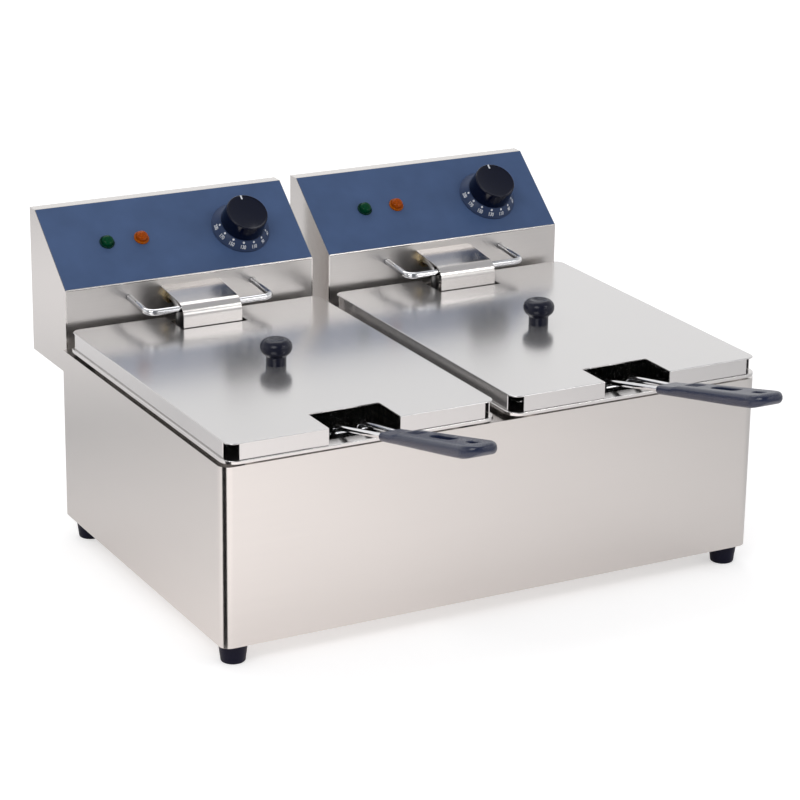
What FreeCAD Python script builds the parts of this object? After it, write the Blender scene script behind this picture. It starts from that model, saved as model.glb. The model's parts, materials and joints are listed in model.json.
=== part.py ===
import FreeCAD, Part
import math
import os

import Sketcher

# Twin countertop deep fryer: one sheet-steel case holds two lift-out oil tanks. Behind each tank
# hangs a lift-off control head whose heating element dips into the oil. Each tank also has a wire
# basket with a plastic grip and a loose pan lid.
# Units are millimetres. X points right, Y points to the back and Z points up. While the pieces are
# built, Y = 0 is the front of the case and Z = 0 is the surface that the feet stand on.

DRIVING_SIZES = [
    # Case and feet
    ("sheet", 1.0, "thickness of the steel sheet"),
    ("seat_gap", 0.3, "gap where a loose piece rests on its seat"),
    ("case_height", 168, "bottom edge of the case to its deck"),
    ("case_corner", 10, "outside radius of the two front corners"),
    ("base_rim", 12, "height of the turned-up edge of the base"),
    ("foot_height", 19, "height of a foot"),
    ("foot_top", 27, "diameter of a foot at the case"),
    ("foot_bottom", 22, "diameter of a foot at the floor"),
    ("foot_inset", 17, "foot axis to the outside of the case"),
    ("foot_screw", 5, "shank of a foot screw"),
    ("foot_screw_head", 9, "head of a foot screw"),
    ("foot_recess", 8, "depth of the screw recess in a foot"),
    # Two units side by side
    ("unit_gap", 13, "gap between the rims of the two tanks"),
    ("case_margin", 1.5, "side of the case to the rim of a tank"),
    # Oil tank
    ("tank_width", 238, "inside width of a tank"),
    ("tank_length", 334, "inside length of a tank"),
    ("tank_front", 9, "front of the case to the inside of the tank"),
    ("tank_rear_room", 17, "inside of the tank to the back of the case"),
    ("tank_corner", 30, "inside radius of the upright corners"),
    ("tank_floor_radius", 18, "outside radius between walls and floor"),
    ("tank_lift", 14, "tank floor above the bottom edge of the case"),
    ("collar_height", 5.2, "turned-up collar of the deck round a tank"),
    ("collar_gap", 0.5, "room between the tank wall and the deck collar"),
    ("rim_flange", 14.5, "rim beyond the inside of the tank, at the sides"),
    ("rim_rear", 8, "rim beyond the inside of the tank, at the back"),
    ("rim_overhang", 4.5, "rim in front of the case"),
    ("rim_corner", 14, "outside corner radius of the rim"),
    ("rim_lip", 3, "height of the rim's turned-down lip"),
    ("sheet_round", 0.8, "rounding of a folded sheet edge"),
    # Lid
    ("lid_inset", 2.5, "lid inside the rim, at each side"),
    ("lid_setback", 1.5, "lid inside the rim, at the front and back"),
    ("lid_height", 15.2, "height of a lid with its skirt"),
    ("lid_corner", 9, "corner radius of a lid"),
    ("skirt_setback", 11, "end of a skirt to the corner of the lid"),
    ("handle_notch_width", 70, "notch in the lid for the basket handle"),
    ("handle_notch_depth", 41, "depth of that notch"),
    ("cover_notch_width", 68, "notch in the lid for the element cover"),
    ("cover_notch_depth", 45, "depth of that notch"),
    ("lid_knob_head", 30, "diameter of the lid knob"),
    ("lid_knob_neck", 19, "diameter of its neck"),
    ("lid_knob_neck_height", 8, "height of its neck"),
    ("lid_knob_height", 24.5, "height of the lid knob"),
    ("knob_screw", 5, "shank of the lid knob's screw"),
    ("knob_screw_head", 10, "head of the lid knob's screw"),
    # Frying basket
    ("basket_side_room", 17, "side of the tank to the mesh"),
    ("basket_front_room", 28, "front of the tank to the mesh"),
    ("basket_rear_room", 61, "back of the tank to the mesh"),
    ("basket_headroom", 3.2, "top of the mesh below the deck"),
    ("mesh_sheet", 1.6, "thickness of a mesh panel"),
    ("mesh_pitch", 26, "spacing of the gaps in a mesh panel"),
    ("mesh_bar", 3.2, "width of the bars between the gaps"),
    ("basket_rim_wire", 5, "wire round the top of the basket"),
    ("basket_rim_bend", 8, "corner radius of that wire, on its axis"),
    ("support_wire", 4, "wires that cradle the mesh"),
    ("support_bend", 3, "bend of those wires, on their axis"),
    ("cradle_gap", 0.5, "cradle wires to the mesh"),
    ("hook_width", 40, "width of the hook at the back of the basket"),
    ("hook_rise", 8, "top of the hook above the rim wire"),
    ("hook_reach", 12, "hook behind the mesh"),
    ("hook_drop", 16, "length of the hook's rear leg"),
    ("hook_strap", 2, "thickness of the hook strap"),
    # Basket handle
    ("handle_slope", 13.5, "rise of the grip, in degrees"),
    ("handle_wire", 5, "diameter of the two handle wires"),
    ("handle_bend", 8, "bend of the handle wires, on their axis"),
    ("handle_top", 8.5, "bend of the handle wires above the deck"),
    ("handle_wire_spread", 26, "wires apart at the basket"),
    ("handle_wire_grip_spread", 16, "wires apart at the grip"),
    ("handle_wire_drop", 95, "length of the wires down the mesh"),
    ("handle_wire_insert", 32, "length of the wires inside the grip"),
    ("grip_start", 50, "inner end of the grip in front of the case"),
    ("grip_rise", 25.8, "inner end of the grip above the deck"),
    ("grip_length", 165, "length of the grip"),
    ("grip_inner_width", 25, "width of the grip at its inner end"),
    ("grip_outer_width", 34, "width of the grip at its outer end"),
    ("grip_top", 5.5, "top of the grip above the wires"),
    ("grip_inner_drop", 4.5, "bottom of the grip below the wires, at its inner end"),
    ("grip_outer_drop", 7, "bottom of the grip below the wires, at its outer end"),
    ("grip_round", 4, "rounding of the grip's long edges"),
    ("grip_slot_length", 42, "length of the long slot in the grip"),
    ("grip_slot_width", 12, "width of that slot"),
    ("grip_slot_share", 0.58, "middle of that slot, as a share of the grip's length"),
    ("grip_hole_length", 18, "length of the hanging hole"),
    ("grip_hole_width", 8, "width of the hanging hole"),
    ("grip_hole_end", 20, "middle of the hanging hole to the outer end"),
    # Control head
    ("head_gap", 0.5, "head behind the back of the case"),
    ("head_margin", 2.5, "side of the head to the side of the tank rim"),
    ("head_depth", 87, "depth of a control head"),
    ("head_drop", 25, "bottom of the head below the deck"),
    ("head_kink", 57.5, "lower edge of the sloped panel above the deck"),
    ("head_height", 119, "top of the head above the deck"),
    ("head_top", 12.5, "depth of the flat top"),
    ("head_base_rim", 12, "turned-up edges of the head's base"),
    ("tongue_width", 90, "width of the tongue that hooks into the deck"),
    ("tongue_reach", 5.5, "middle of the tongue in front of the head"),
    ("tongue_sheet", 2, "thickness of the tongue"),
    ("tongue_drop", 16, "tongue below the deck"),
    ("tongue_flange", 14, "tongue's flange on the head above the deck"),
    ("slot_gap", 0.6, "room round the tongue in the deck's slot"),
    # Controls on the sloped panel
    ("overlay_sheet", 0.6, "thickness of the coloured overlay"),
    ("overlay_margin", 0.8, "bare steel round the overlay"),
    ("dial_across", 68.5, "dial to the right of the middle of the head"),
    ("dial_up", 45.5, "dial above the lower edge of the sloped panel"),
    ("dial_ring", 59, "diameter of the dial ring"),
    ("dial_ring_height", 2.4, "height of the dial ring"),
    ("dial_ring_slope", 1.2, "bevel of the dial ring"),
    ("knob_gap", 0.5, "knob above the dial ring"),
    ("knob_foot", 40.6, "diameter of the thermostat knob at its foot"),
    ("knob_top", 42, "diameter of the thermostat knob at its top"),
    ("knob_height", 24, "height of the thermostat knob"),
    ("knob_bevel", 1.6, "rounding of the knob's top edge"),
    ("index_width", 2, "index line on the knob"),
    ("index_length", 4, "length of that line"),
    ("index_depth", 0.5, "depth of that line"),
    ("shaft", 6, "diameter of the thermostat shaft"),
    ("shaft_fit", 0.06, "running clearance of the shaft, on the radius"),
    ("shaft_grip", 15, "length of the shaft inside the knob"),
    ("shaft_inside", 14, "length of the shaft inside the thermostat"),
    ("thermostat_width", 38, "width of the thermostat body"),
    ("thermostat_length", 34, "length of the thermostat body"),
    ("thermostat_depth", 27, "depth of the thermostat body"),
    ("thermostat_plate", 52, "width of the thermostat's mounting plate"),
    ("thermostat_collar", 10, "diameter of the collar through the panel"),
    ("power_lamp_across", -72, "green lamp from the middle of the head"),
    ("heat_lamp_across", -36, "amber lamp from the middle of the head"),
    ("lamp_up", 48.5, "lamps above the lower edge of the sloped panel"),
    ("lamp_bezel", 15, "diameter of a lamp's bezel"),
    ("lamp_lens", 11, "diameter of a lamp's lens"),
    ("lamp_bezel_height", 2, "height of a lamp's bezel"),
    ("lamp_lens_height", 4, "lens above the bezel"),
    ("lamp_body", 10, "diameter of a lamp's body behind the panel"),
    ("lamp_depth", 24, "length of a lamp's body behind the panel"),
    # Heating element and what stands on the upright front of the head
    ("tube", 8, "diameter of the heating tube"),
    ("leg_spread", 48, "spacing of the two legs of the heating tube"),
    ("leg_height", 41, "legs leave the head this far above the deck"),
    ("leg_reach", 25, "legs in front of the head"),
    ("leg_inside", 14, "legs inside the head"),
    ("leg_bend", 14, "bend of the legs, on the axis"),
    ("element_lift", 26, "axis of the heating tube above the tank floor"),
    ("element_front", 36, "tank front to the foremost run of the tube"),
    ("element_back", 70, "tank back to the rear turns of the tube"),
    ("element_side_room", 19, "side of the tank to the outermost run of the tube"),
    ("tube_fit", 0.2, "room round a tube or wire in the panel"),
    ("nut_width", 14, "width of an element nut across its flats"),
    ("nut_height", 6, "height of an element nut"),
    ("probe", 6.4, "diameter of the temperature bulb"),
    ("probe_length", 88, "length of the temperature bulb"),
    ("capillary", 3, "diameter of the capillary tube"),
    ("probe_nut_width", 10, "width of the capillary nut across its flats"),
    ("hanger_width", 131, "spacing of the hanger's two arms"),
    ("hanger_reach", 45, "hanger in front of the head"),
    ("hanger_height", 43, "hanger leaves the head this far above the deck"),
    ("hanger_fall", 3.5, "fall of the hanger towards its front"),
    ("hanger_wire", 6.2, "diameter of the hanger wire"),
    ("hanger_bend", 9, "bend of the hanger wire, on its axis"),
    ("hanger_inside", 10, "hanger wire inside the head"),
    ("cover_width", 61, "width of the element cover"),
    ("cover_offset", -2, "middle of the cover from the middle of the head"),
    ("cover_reach", 54, "element cover in front of the head"),
    ("cover_height", 50.5, "element cover meets the head this far above the deck"),
    ("cover_fall", 7, "slope of the cover's top, in degrees"),
    ("cover_bend", 13, "outside radius of the cover's bend"),
    ("cover_foot", 12, "lower edge of the cover above the deck"),
    # Inside the head
    ("terminal_width", 56, "width of the terminal block"),
    ("terminal_depth", 22, "depth of the terminal block"),
    ("terminal_height", 18, "height of the terminal block"),
    ("terminal_slot", 8, "width of a terminal slot"),
    ("terminal_pitch", 15, "spacing of the terminal slots"),
    ("terminal_slot_depth", 10, "depth of a terminal slot"),
    ("limiter_can", 25, "diameter of the safety cut-out"),
    ("limiter_depth", 22, "depth of the safety cut-out"),
    ("limiter_flange", 40, "length of the safety cut-out's flange"),
    ("limiter_across", -70, "safety cut-out from the middle of the head"),
    ("limiter_up", 60, "safety cut-out above the base of the head"),
    ("gland_thread", 16, "diameter of the cable gland's thread"),
    ("gland_nut", 22, "width of the cable gland across its flats"),
    ("gland_nut_height", 6, "height of the gland's hexagon"),
    ("gland_cap", 18, "diameter of the gland's cap"),
    ("gland_cap_height", 9, "height of the gland's cap"),
    ("gland_bore", 9, "bore of the gland for a mains lead"),
    ("gland_up", 24, "gland above the base of the head"),
    ("gland_across", 70, "gland from the middle of the head"),
]

doc = FreeCAD.newDocument("deep_fryer")
sheet_object = doc.addObject("Spreadsheet::Sheet", "Sizes")
for row, (alias, number, note) in enumerate(DRIVING_SIZES, start=1):
    sheet_object.set("A%d" % row, note)
    sheet_object.set("B%d" % row, str(number))
    sheet_object.setAlias("B%d" % row, alias)
doc.recompute()


class Size:
    """A length or angle: its present value, and the sheet expression that gives it."""

    def __init__(self, value, text):
        self.value = float(value)
        self.text = text

    @staticmethod
    def of(other):
        return other if isinstance(other, Size) else Size(other, repr(other))

    def joined(self, other, sign, value):
        return Size(value, "(%s %s %s)" % (self.text, sign, other.text))

    def __add__(self, other):
        other = Size.of(other)
        return self.joined(other, "+", self.value + other.value)

    def __radd__(self, other):
        return Size.of(other) + self

    def __sub__(self, other):
        other = Size.of(other)
        return self.joined(other, "-", self.value - other.value)

    def __rsub__(self, other):
        return Size.of(other) - self

    def __mul__(self, other):
        other = Size.of(other)
        return self.joined(other, "*", self.value * other.value)

    def __rmul__(self, other):
        return Size.of(other) * self

    def __truediv__(self, other):
        other = Size.of(other)
        return self.joined(other, "/", self.value / other.value)

    def __neg__(self):
        return Size(-self.value, "(-%s)" % self.text)


class Sizes:
    """The driving sizes by name, read from the sheet; sizes worked out from them are added below."""

    def __getattr__(self, alias):
        return Size(sheet_object.get(alias), "Sizes.%s" % alias)


size = Sizes()
ZERO = Size(0, "0")


def sine(angle):
    return Size(math.sin(math.radians(angle.value)), "sin(%s)" % angle.text)


def cosine(angle):
    return Size(math.cos(math.radians(angle.value)), "cos(%s)" % angle.text)


def tangent(angle):
    return Size(math.tan(math.radians(angle.value)), "tan(%s)" % angle.text)


def arc_tangent(rise, run):
    return Size(math.degrees(math.atan2(rise.value, run.value)), "atan(%s / %s)" % (rise.text, run.text))


# Sizes worked out from the tank
size.rim_width = size.tank_width + 2 * size.rim_flange
size.rim_length = size.rim_overhang + size.tank_front + size.tank_length + size.rim_rear
size.unit_pitch = size.rim_width + size.unit_gap
size.case_width = size.unit_pitch + size.rim_width + 2 * size.case_margin
size.case_depth = size.tank_front + size.tank_length + size.tank_rear_room
size.lid_width = size.rim_width - 2 * size.lid_inset
size.lid_length = size.rim_length - 2 * size.lid_setback
size.lid_overhang = size.rim_overhang - size.lid_setback
size.head_width = size.rim_width - 2 * size.head_margin
size.basket_width = size.tank_width - 2 * size.basket_side_room
size.basket_front = size.tank_front + size.basket_front_room
size.basket_length = size.tank_length - size.basket_front_room - size.basket_rear_room
size.element_turn = (size.tank_width / 2 - size.leg_spread / 2 - size.element_side_room) / 4
size.grip_slot_at = size.grip_length * size.grip_slot_share
size.grip_hole_at = size.grip_length - size.grip_hole_end

# Levels and lines that several pieces share
half_case = size.case_width / 2
deck = size.foot_height + size.case_height
tank_floor = size.foot_height + size.tank_lift + size.sheet
tank_back = size.tank_front + size.tank_length
rim_seat = deck + size.collar_height + size.seat_gap
rim_top = rim_seat + size.sheet
lid_bottom = rim_top + size.seat_gap
lid_top = lid_bottom + size.lid_height
lid_front = -size.lid_overhang
lid_back = lid_front + size.lid_length
lid_middle = lid_front + size.lid_length / 2
head_front = size.case_depth + size.head_gap
head_back = head_front + size.head_depth
head_bottom = deck - size.head_drop
kink = deck + size.head_kink
head_ceiling = deck + size.head_height
slope_run = size.head_depth - size.head_top
slope_rise = size.head_height - size.head_kink
slope_angle = arc_tangent(slope_rise, slope_run)
slope_length = slope_run / cosine(slope_angle)
element_level = tank_floor + size.element_lift
support_level = element_level + size.tube / 2 + size.seat_gap + size.support_wire / 2
basket_floor = support_level + size.support_wire / 2 + size.cradle_gap
size.basket_height = deck - size.basket_headroom - basket_floor
basket_rim = basket_floor + size.basket_height + size.basket_rim_wire / 2
basket_back = size.basket_front + size.basket_length
leg_level = deck + size.leg_height
leg_line = head_front - size.leg_reach
handle_line = size.basket_front + size.mesh_sheet / 2 - size.basket_rim_wire / 2 - size.handle_wire / 2
handle_corner = deck + size.handle_top
grip_front = -size.grip_start
grip_level = deck + size.grip_rise

nodes = {}


def bind(target, name, value):
    """Tie a property or constraint to the sheet."""
    target.setExpression(name, value.text)


def vector(x, y, z):
    return FreeCAD.Vector(Size.of(x).value, Size.of(y).value, Size.of(z).value)


def place(x=ZERO, y=ZERO, z=ZERO, tilt=ZERO):
    """A placement at a point, tilted about the X axis."""
    return FreeCAD.Placement(vector(x, y, z), FreeCAD.Rotation(FreeCAD.Vector(1, 0, 0), tilt.value))


def keep(label, target, placement=None):
    """Name a finished piece and remember where it stands."""
    target.Label = label
    nodes[label] = (target, placement or FreeCAD.Placement())
    return target


def new_body(label):
    return doc.addObject("PartDesign::Body", label)


def new_sketch(body, role, level=None):
    """A sketch on one of the body's own origin planes, raised along the plane's normal."""
    sketch = body.newObject("Sketcher::SketchObject", body.Label + "_sketch")
    plane = [item for item in body.Origin.OriginFeatures if item.Role == role][0]
    sketch.AttachmentSupport = [(plane, "")]
    sketch.MapMode = "FlatFace"
    if level is not None:
        bind(sketch, ".AttachmentOffset.Base.z", level)
    return sketch


def pin_point(sketch, geometry, point, x, y):
    """Give one point of a sketch its distances from the origin."""
    for kind, value in (("DistanceX", x), ("DistanceY", y)):
        value = Size.of(value)
        index = sketch.addConstraint(Sketcher.Constraint(kind, -1, 1, geometry, point, value.value))
        bind(sketch, "Constraints[%d]" % index, value)


def outline(sketch, corners):
    """A closed profile through corners (x, y), or (x, y, radius) where a corner is rounded."""
    points = [vector(corner[0], corner[1], 0) for corner in corners]
    count = len(points)
    starts = list(points)
    ends = list(points)
    arcs = {}
    for i, corner in enumerate(corners):
        if len(corner) < 3:
            continue
        radius = corner[2].value
        before = (points[i - 1] - points[i]).normalize()
        after = (points[(i + 1) % count] - points[i]).normalize()
        half_turn = before.getAngle(after) / 2
        ends[i] = points[i] + before * (radius / math.tan(half_turn))
        starts[i] = points[i] + after * (radius / math.tan(half_turn))
        middle = (before + after).normalize()
        centre = points[i] + middle * (radius / math.sin(half_turn))
        turns_left = before.cross(after).z < 0
        arcs[i] = (centre, radius, turns_left)
    lines = []
    for i in range(count):
        lines.append(sketch.addGeometry(Part.LineSegment(starts[i], ends[(i + 1) % count]), False))
    for i, corner in enumerate(corners):
        line_in = lines[i - 1]
        line_out = lines[i]
        if i not in arcs:
            sketch.addConstraint(Sketcher.Constraint("Coincident", line_in, 2, line_out, 1))
            pin_point(sketch, line_out, 1, corner[0], corner[1])
            continue
        centre, radius, turns_left = arcs[i]
        first, last = (ends[i], starts[i]) if turns_left else (starts[i], ends[i])
        first_angle = math.atan2(first.y - centre.y, first.x - centre.x)
        last_angle = math.atan2(last.y - centre.y, last.x - centre.x)
        circle = Part.Circle(centre, FreeCAD.Vector(0, 0, 1), radius)
        arc = sketch.addGeometry(Part.ArcOfCircle(circle, first_angle, last_angle), False)
        mark = sketch.addGeometry(Part.Point(points[i]), True)
        near, far = (1, 2) if turns_left else (2, 1)
        sketch.addConstraint(Sketcher.Constraint("Tangent", line_in, 2, arc, near))
        sketch.addConstraint(Sketcher.Constraint("Tangent", line_out, 1, arc, far))
        sketch.addConstraint(Sketcher.Constraint("PointOnObject", mark, 1, line_in))
        sketch.addConstraint(Sketcher.Constraint("PointOnObject", mark, 1, line_out))
        index = sketch.addConstraint(Sketcher.Constraint("Radius", arc, radius))
        bind(sketch, "Constraints[%d]" % index, corner[2])
        pin_point(sketch, mark, 1, corner[0], corner[1])


def rectangle(sketch, left, right, front, back, radius=None):
    corners = [(left, front), (right, front), (right, back), (left, back)]
    if radius is not None:
        corners = [corner + (radius,) for corner in corners]
    outline(sketch, corners)


def circle(sketch, x, y, diameter):
    centre = vector(x, y, 0)
    shape = Part.Circle(centre, FreeCAD.Vector(0, 0, 1), diameter.value / 2)
    index = sketch.addGeometry(shape, False)
    pin_point(sketch, index, 3, x, y)
    constraint = sketch.addConstraint(Sketcher.Constraint("Diameter", index, diameter.value))
    bind(sketch, "Constraints[%d]" % constraint, diameter)


def pad(body, sketch, length, both_ways=False):
    feature = body.newObject("PartDesign::Pad", body.Label + "_pad")
    feature.Profile = sketch
    feature.SideType = "Symmetric" if both_ways else "One side"
    bind(feature, "Length", length)
    body.Tip = feature
    return feature


def pocket(body, sketch, depth, both_ways=False):
    """Cut below the sketch, or on both sides of it; a cut that removes nothing is a mistake."""
    doc.recompute()
    before = body.Shape.Volume
    feature = body.newObject("PartDesign::Pocket", body.Label + "_pocket")
    feature.Profile = sketch
    feature.SideType = "Symmetric" if both_ways else "One side"
    bind(feature, "Length", depth)
    body.Tip = feature
    doc.recompute()
    if body.Shape.Volume >= before:
        raise ValueError("a cut in %s removes nothing" % body.Label)
    return feature


def revolve(body, sketch):
    feature = body.newObject("PartDesign::Revolution", body.Label + "_revolution")
    feature.Profile = sketch
    feature.ReferenceAxis = (sketch, ["V_Axis"])
    feature.Angle = 360
    body.Tip = feature
    return feature


def round_edges(body, base, chosen, radius):
    """Fillet the edges of a feature that a test picks out."""
    doc.recompute()
    names = ["Edge%d" % (i + 1) for i, edge in enumerate(base.Shape.Edges) if chosen(edge)]
    feature = body.newObject("PartDesign::Fillet", body.Label + "_fillet")
    feature.Base = (base, names)
    bind(feature, "Radius", radius)
    body.Tip = feature
    return feature


def lies_at(edge, axis, level, slack=1e-4):
    """True where a whole edge has the same coordinate along an axis."""
    box = edge.BoundBox
    low, high = {"x": (box.XMin, box.XMax), "y": (box.YMin, box.YMax), "z": (box.ZMin, box.ZMax)}[axis]
    return abs(low - level.value) < slack and abs(high - level.value) < slack


def bent_path(points, bends):
    """Straight runs through the points, joined by tangent arcs at the inner points."""
    edges = []
    here = points[0]
    for i in range(1, len(points) - 1):
        corner = points[i]
        back = (points[i - 1] - corner).normalize()
        onward = (points[i + 1] - corner).normalize()
        half_angle = back.getAngle(onward) / 2
        reach = bends[i - 1] / math.tan(half_angle)
        middle = (back + onward).normalize()
        centre = corner + middle * (bends[i - 1] / math.sin(half_angle))
        first = corner + back * reach
        last = corner + onward * reach
        top = centre - middle * bends[i - 1]
        if first.distanceToPoint(here) > 1e-6:
            edges.append(Part.LineSegment(here, first).toShape())
        edges.append(Part.Arc(first, top, last).toShape())
        here = last
    edges.append(Part.LineSegment(here, points[-1]).toShape())
    return Part.Wire(edges)


def round_bar(path, diameter):
    """A solid round bar along a path."""
    start = path.OrderedEdges[0]
    origin = start.valueAt(start.FirstParameter)
    direction = start.tangentAt(start.FirstParameter)
    ring = Part.Wire([Part.Circle(origin, direction, diameter / 2).toShape()])
    bar = path.makePipeShell([ring], True, True)
    expected = math.pi * diameter ** 2 / 4 * path.Length
    if abs(bar.Volume - expected) > 0.01 * expected:
        raise ValueError("a bent bar has the wrong volume")
    return bar


def bent_bar(points, bends, diameter):
    return round_bar(bent_path(points, bends), diameter)


def shape_feature(label, shape):
    feature = doc.addObject("Part::Feature", label)
    feature.Shape = shape
    return feature


def copies(shape, positions):
    """Separate copies of one solid at several places."""
    placed = []
    for position in positions:
        copy = shape.copy()
        copy.translate(position)
        placed.append(copy)
    return Part.makeCompound(placed)


def hexagon_nut(width, height, bore):
    """A hexagon nut standing on the origin along Z."""
    corner = width / math.sqrt(3)
    turns = [math.radians(60 * i) for i in range(7)]
    ring = Part.makePolygon([FreeCAD.Vector(corner * math.cos(a), corner * math.sin(a), 0) for a in turns])
    solid = Part.Face(ring).extrude(FreeCAD.Vector(0, 0, height))
    return solid.cut(Part.makeCylinder(bore / 2, height))


# The case
def make_case_shell():
    """Front and sides of the case, folded from one sheet."""
    body = new_body("case_shell")
    inner = half_case - size.sheet
    inner_corner = size.case_corner - size.sheet
    sketch = new_sketch(body, "XY_Plane", size.foot_height)
    outline(sketch, [
        (-half_case, size.case_depth),
        (-half_case, ZERO, size.case_corner),
        (half_case, ZERO, size.case_corner),
        (half_case, size.case_depth),
        (inner, size.case_depth),
        (inner, size.sheet, inner_corner),
        (-inner, size.sheet, inner_corner),
        (-inner, size.case_depth),
    ])
    pad(body, sketch, size.case_height)
    keep("case_shell", body)


def case_floor_outline(sketch, inset):
    """The plan of a sheet that fills the case, inset from its outside."""
    corner = size.case_corner - inset
    edge = half_case - inset
    back = size.case_depth - inset
    outline(sketch, [(-edge, back), (-edge, inset, corner), (edge, inset, corner), (edge, back)])


def foot_places():
    across = half_case - size.foot_inset
    back = size.case_depth - size.foot_inset
    return [(side * across, y) for side in (-1, 1) for y in (size.foot_inset, back)]


def make_base_plate():
    """Base tray of the case, with a turned-up edge."""
    body = new_body("base_plate")
    plate = new_sketch(body, "XY_Plane", size.foot_height)
    case_floor_outline(plate, size.sheet)
    for x, y in foot_places():
        circle(plate, x, y, size.foot_screw + size.tube_fit)
    pad(body, plate, size.sheet)
    rim = new_sketch(body, "XY_Plane", size.foot_height)
    case_floor_outline(rim, size.sheet)
    case_floor_outline(rim, 2 * size.sheet)
    pad(body, rim, size.base_rim)
    keep("base_plate", body)


def tank_outline(sketch, middle, growth):
    """Plan of a tank, grown outwards from its inside."""
    half = size.tank_width / 2 + growth
    rectangle(sketch, middle - half, middle + half, size.tank_front - growth, tank_back + growth,
              size.tank_corner + growth)


def make_top_deck():
    """Deck of the case: two tank openings with turned-up collars, and slots for the heads' tongues."""
    body = new_body("top_deck")
    opening = size.sheet + size.collar_gap
    plate = new_sketch(body, "XY_Plane", deck - size.sheet)
    case_floor_outline(plate, size.sheet)
    collar = new_sketch(body, "XY_Plane", deck - size.sheet)
    tongue_line = head_front - size.tongue_reach
    slot_half = size.tongue_sheet / 2 + size.slot_gap
    tongue_half = size.tongue_width / 2 + size.slot_gap
    for side in (-1, 1):
        middle = side * size.unit_pitch / 2
        tank_outline(plate, middle, opening)
        tank_outline(collar, middle, opening)
        tank_outline(collar, middle, opening + size.sheet)
        rectangle(plate, middle - tongue_half, middle + tongue_half,
                  tongue_line - slot_half, tongue_line + slot_half)
    pad(body, plate, size.sheet)
    pad(body, collar, size.sheet + size.collar_height)
    keep("top_deck", body)


def make_rear_panel():
    """Back of the case, between its sides."""
    body = new_body("rear_panel")
    sketch = new_sketch(body, "XY_Plane", size.foot_height)
    edge = half_case - size.sheet
    rectangle(sketch, -edge, edge, size.case_depth - size.sheet, size.case_depth)
    pad(body, sketch, size.case_height)
    keep("rear_panel", body)


def make_feet():
    """Four tapered rubber feet, each with a recess for its screw."""
    body = new_body("foot")
    sketch = new_sketch(body, "XZ_Plane")
    bore = (size.foot_screw + size.tube_fit) / 2
    recess = size.foot_screw_head / 2 + size.slot_gap
    outline(sketch, [
        (recess, ZERO),
        (size.foot_bottom / 2, ZERO, size.rim_lip / 2),
        (size.foot_top / 2, size.foot_height),
        (bore, size.foot_height),
        (bore, size.foot_recess),
        (recess, size.foot_recess),
    ])
    revolve(body, sketch)
    screw = new_body("foot_screw")
    sketch = new_sketch(screw, "XZ_Plane")
    head_height = size.foot_screw_head / 3
    tip = size.foot_height + size.sheet + size.foot_screw
    outline(sketch, [
        (ZERO, size.foot_recess - head_height),
        (size.foot_screw_head / 2, size.foot_recess - head_height),
        (size.foot_screw_head / 2, size.foot_recess),
        (size.foot_screw / 2, size.foot_recess),
        (size.foot_screw / 2, tip),
        (ZERO, tip),
    ])
    revolve(screw, sketch)
    doc.recompute()
    places = [vector(x, y, 0) for x, y in foot_places()]
    keep("feet", shape_feature("feet", copies(body.Shape, places)))
    keep("foot_screws", shape_feature("foot_screws", copies(screw.Shape, places)))


# The tank and its lid
def make_tank(side):
    """Deep-drawn oil tank that hangs by its rim in the deck."""
    body = new_body(side + "_tank")
    bottom = size.foot_height + size.tank_lift
    wall = new_sketch(body, "XY_Plane", bottom)
    tank_outline(wall, ZERO, size.sheet)
    block = pad(body, wall, rim_top - bottom)
    rounded = round_edges(body, block, lambda edge: lies_at(edge, "z", bottom), size.tank_floor_radius)
    doc.recompute()
    tops = [i + 1 for i, face in enumerate(rounded.Shape.Faces) if lies_at(face, "z", rim_top)]
    hollow = body.newObject("PartDesign::Thickness", body.Label + "_hollow")
    hollow.Base = (rounded, ["Face%d" % tops[0]])
    hollow.Reversed = True
    bind(hollow, "Value", size.sheet)
    body.Tip = hollow
    half_rim = size.rim_width / 2
    rim_front = -size.rim_overhang
    rim_back = rim_front + size.rim_length
    flange = new_sketch(body, "XY_Plane", rim_seat)
    rectangle(flange, -half_rim, half_rim, rim_front, rim_back, size.rim_corner)
    tank_outline(flange, ZERO, ZERO)
    pad(body, flange, size.sheet)
    lip = new_sketch(body, "XY_Plane", rim_top - size.rim_lip)
    rectangle(lip, -half_rim, half_rim, rim_front, rim_back, size.rim_corner)
    rectangle(lip, -half_rim + size.sheet, half_rim - size.sheet, rim_front + size.sheet,
              rim_back - size.sheet, size.rim_corner - size.sheet)
    rolled = pad(body, lip, size.rim_lip)
    outside = size.tank_width / 2 + size.sheet
    round_edges(body, rolled, lambda edge: lies_at(edge, "z", rim_top) and reaches_past(edge, outside),
                size.sheet_round)
    keep(side + "_tank", body)


def reaches_past(edge, half_width):
    """True for an edge of the outer loop, beyond a half width or beyond the tank's ends."""
    box = edge.BoundBox
    middle = box.Center
    beyond_sides = abs(middle.x) > half_width.value
    beyond_ends = middle.y < (size.tank_front - size.sheet).value or middle.y > (tank_back + size.sheet).value
    return beyond_sides or beyond_ends


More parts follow.
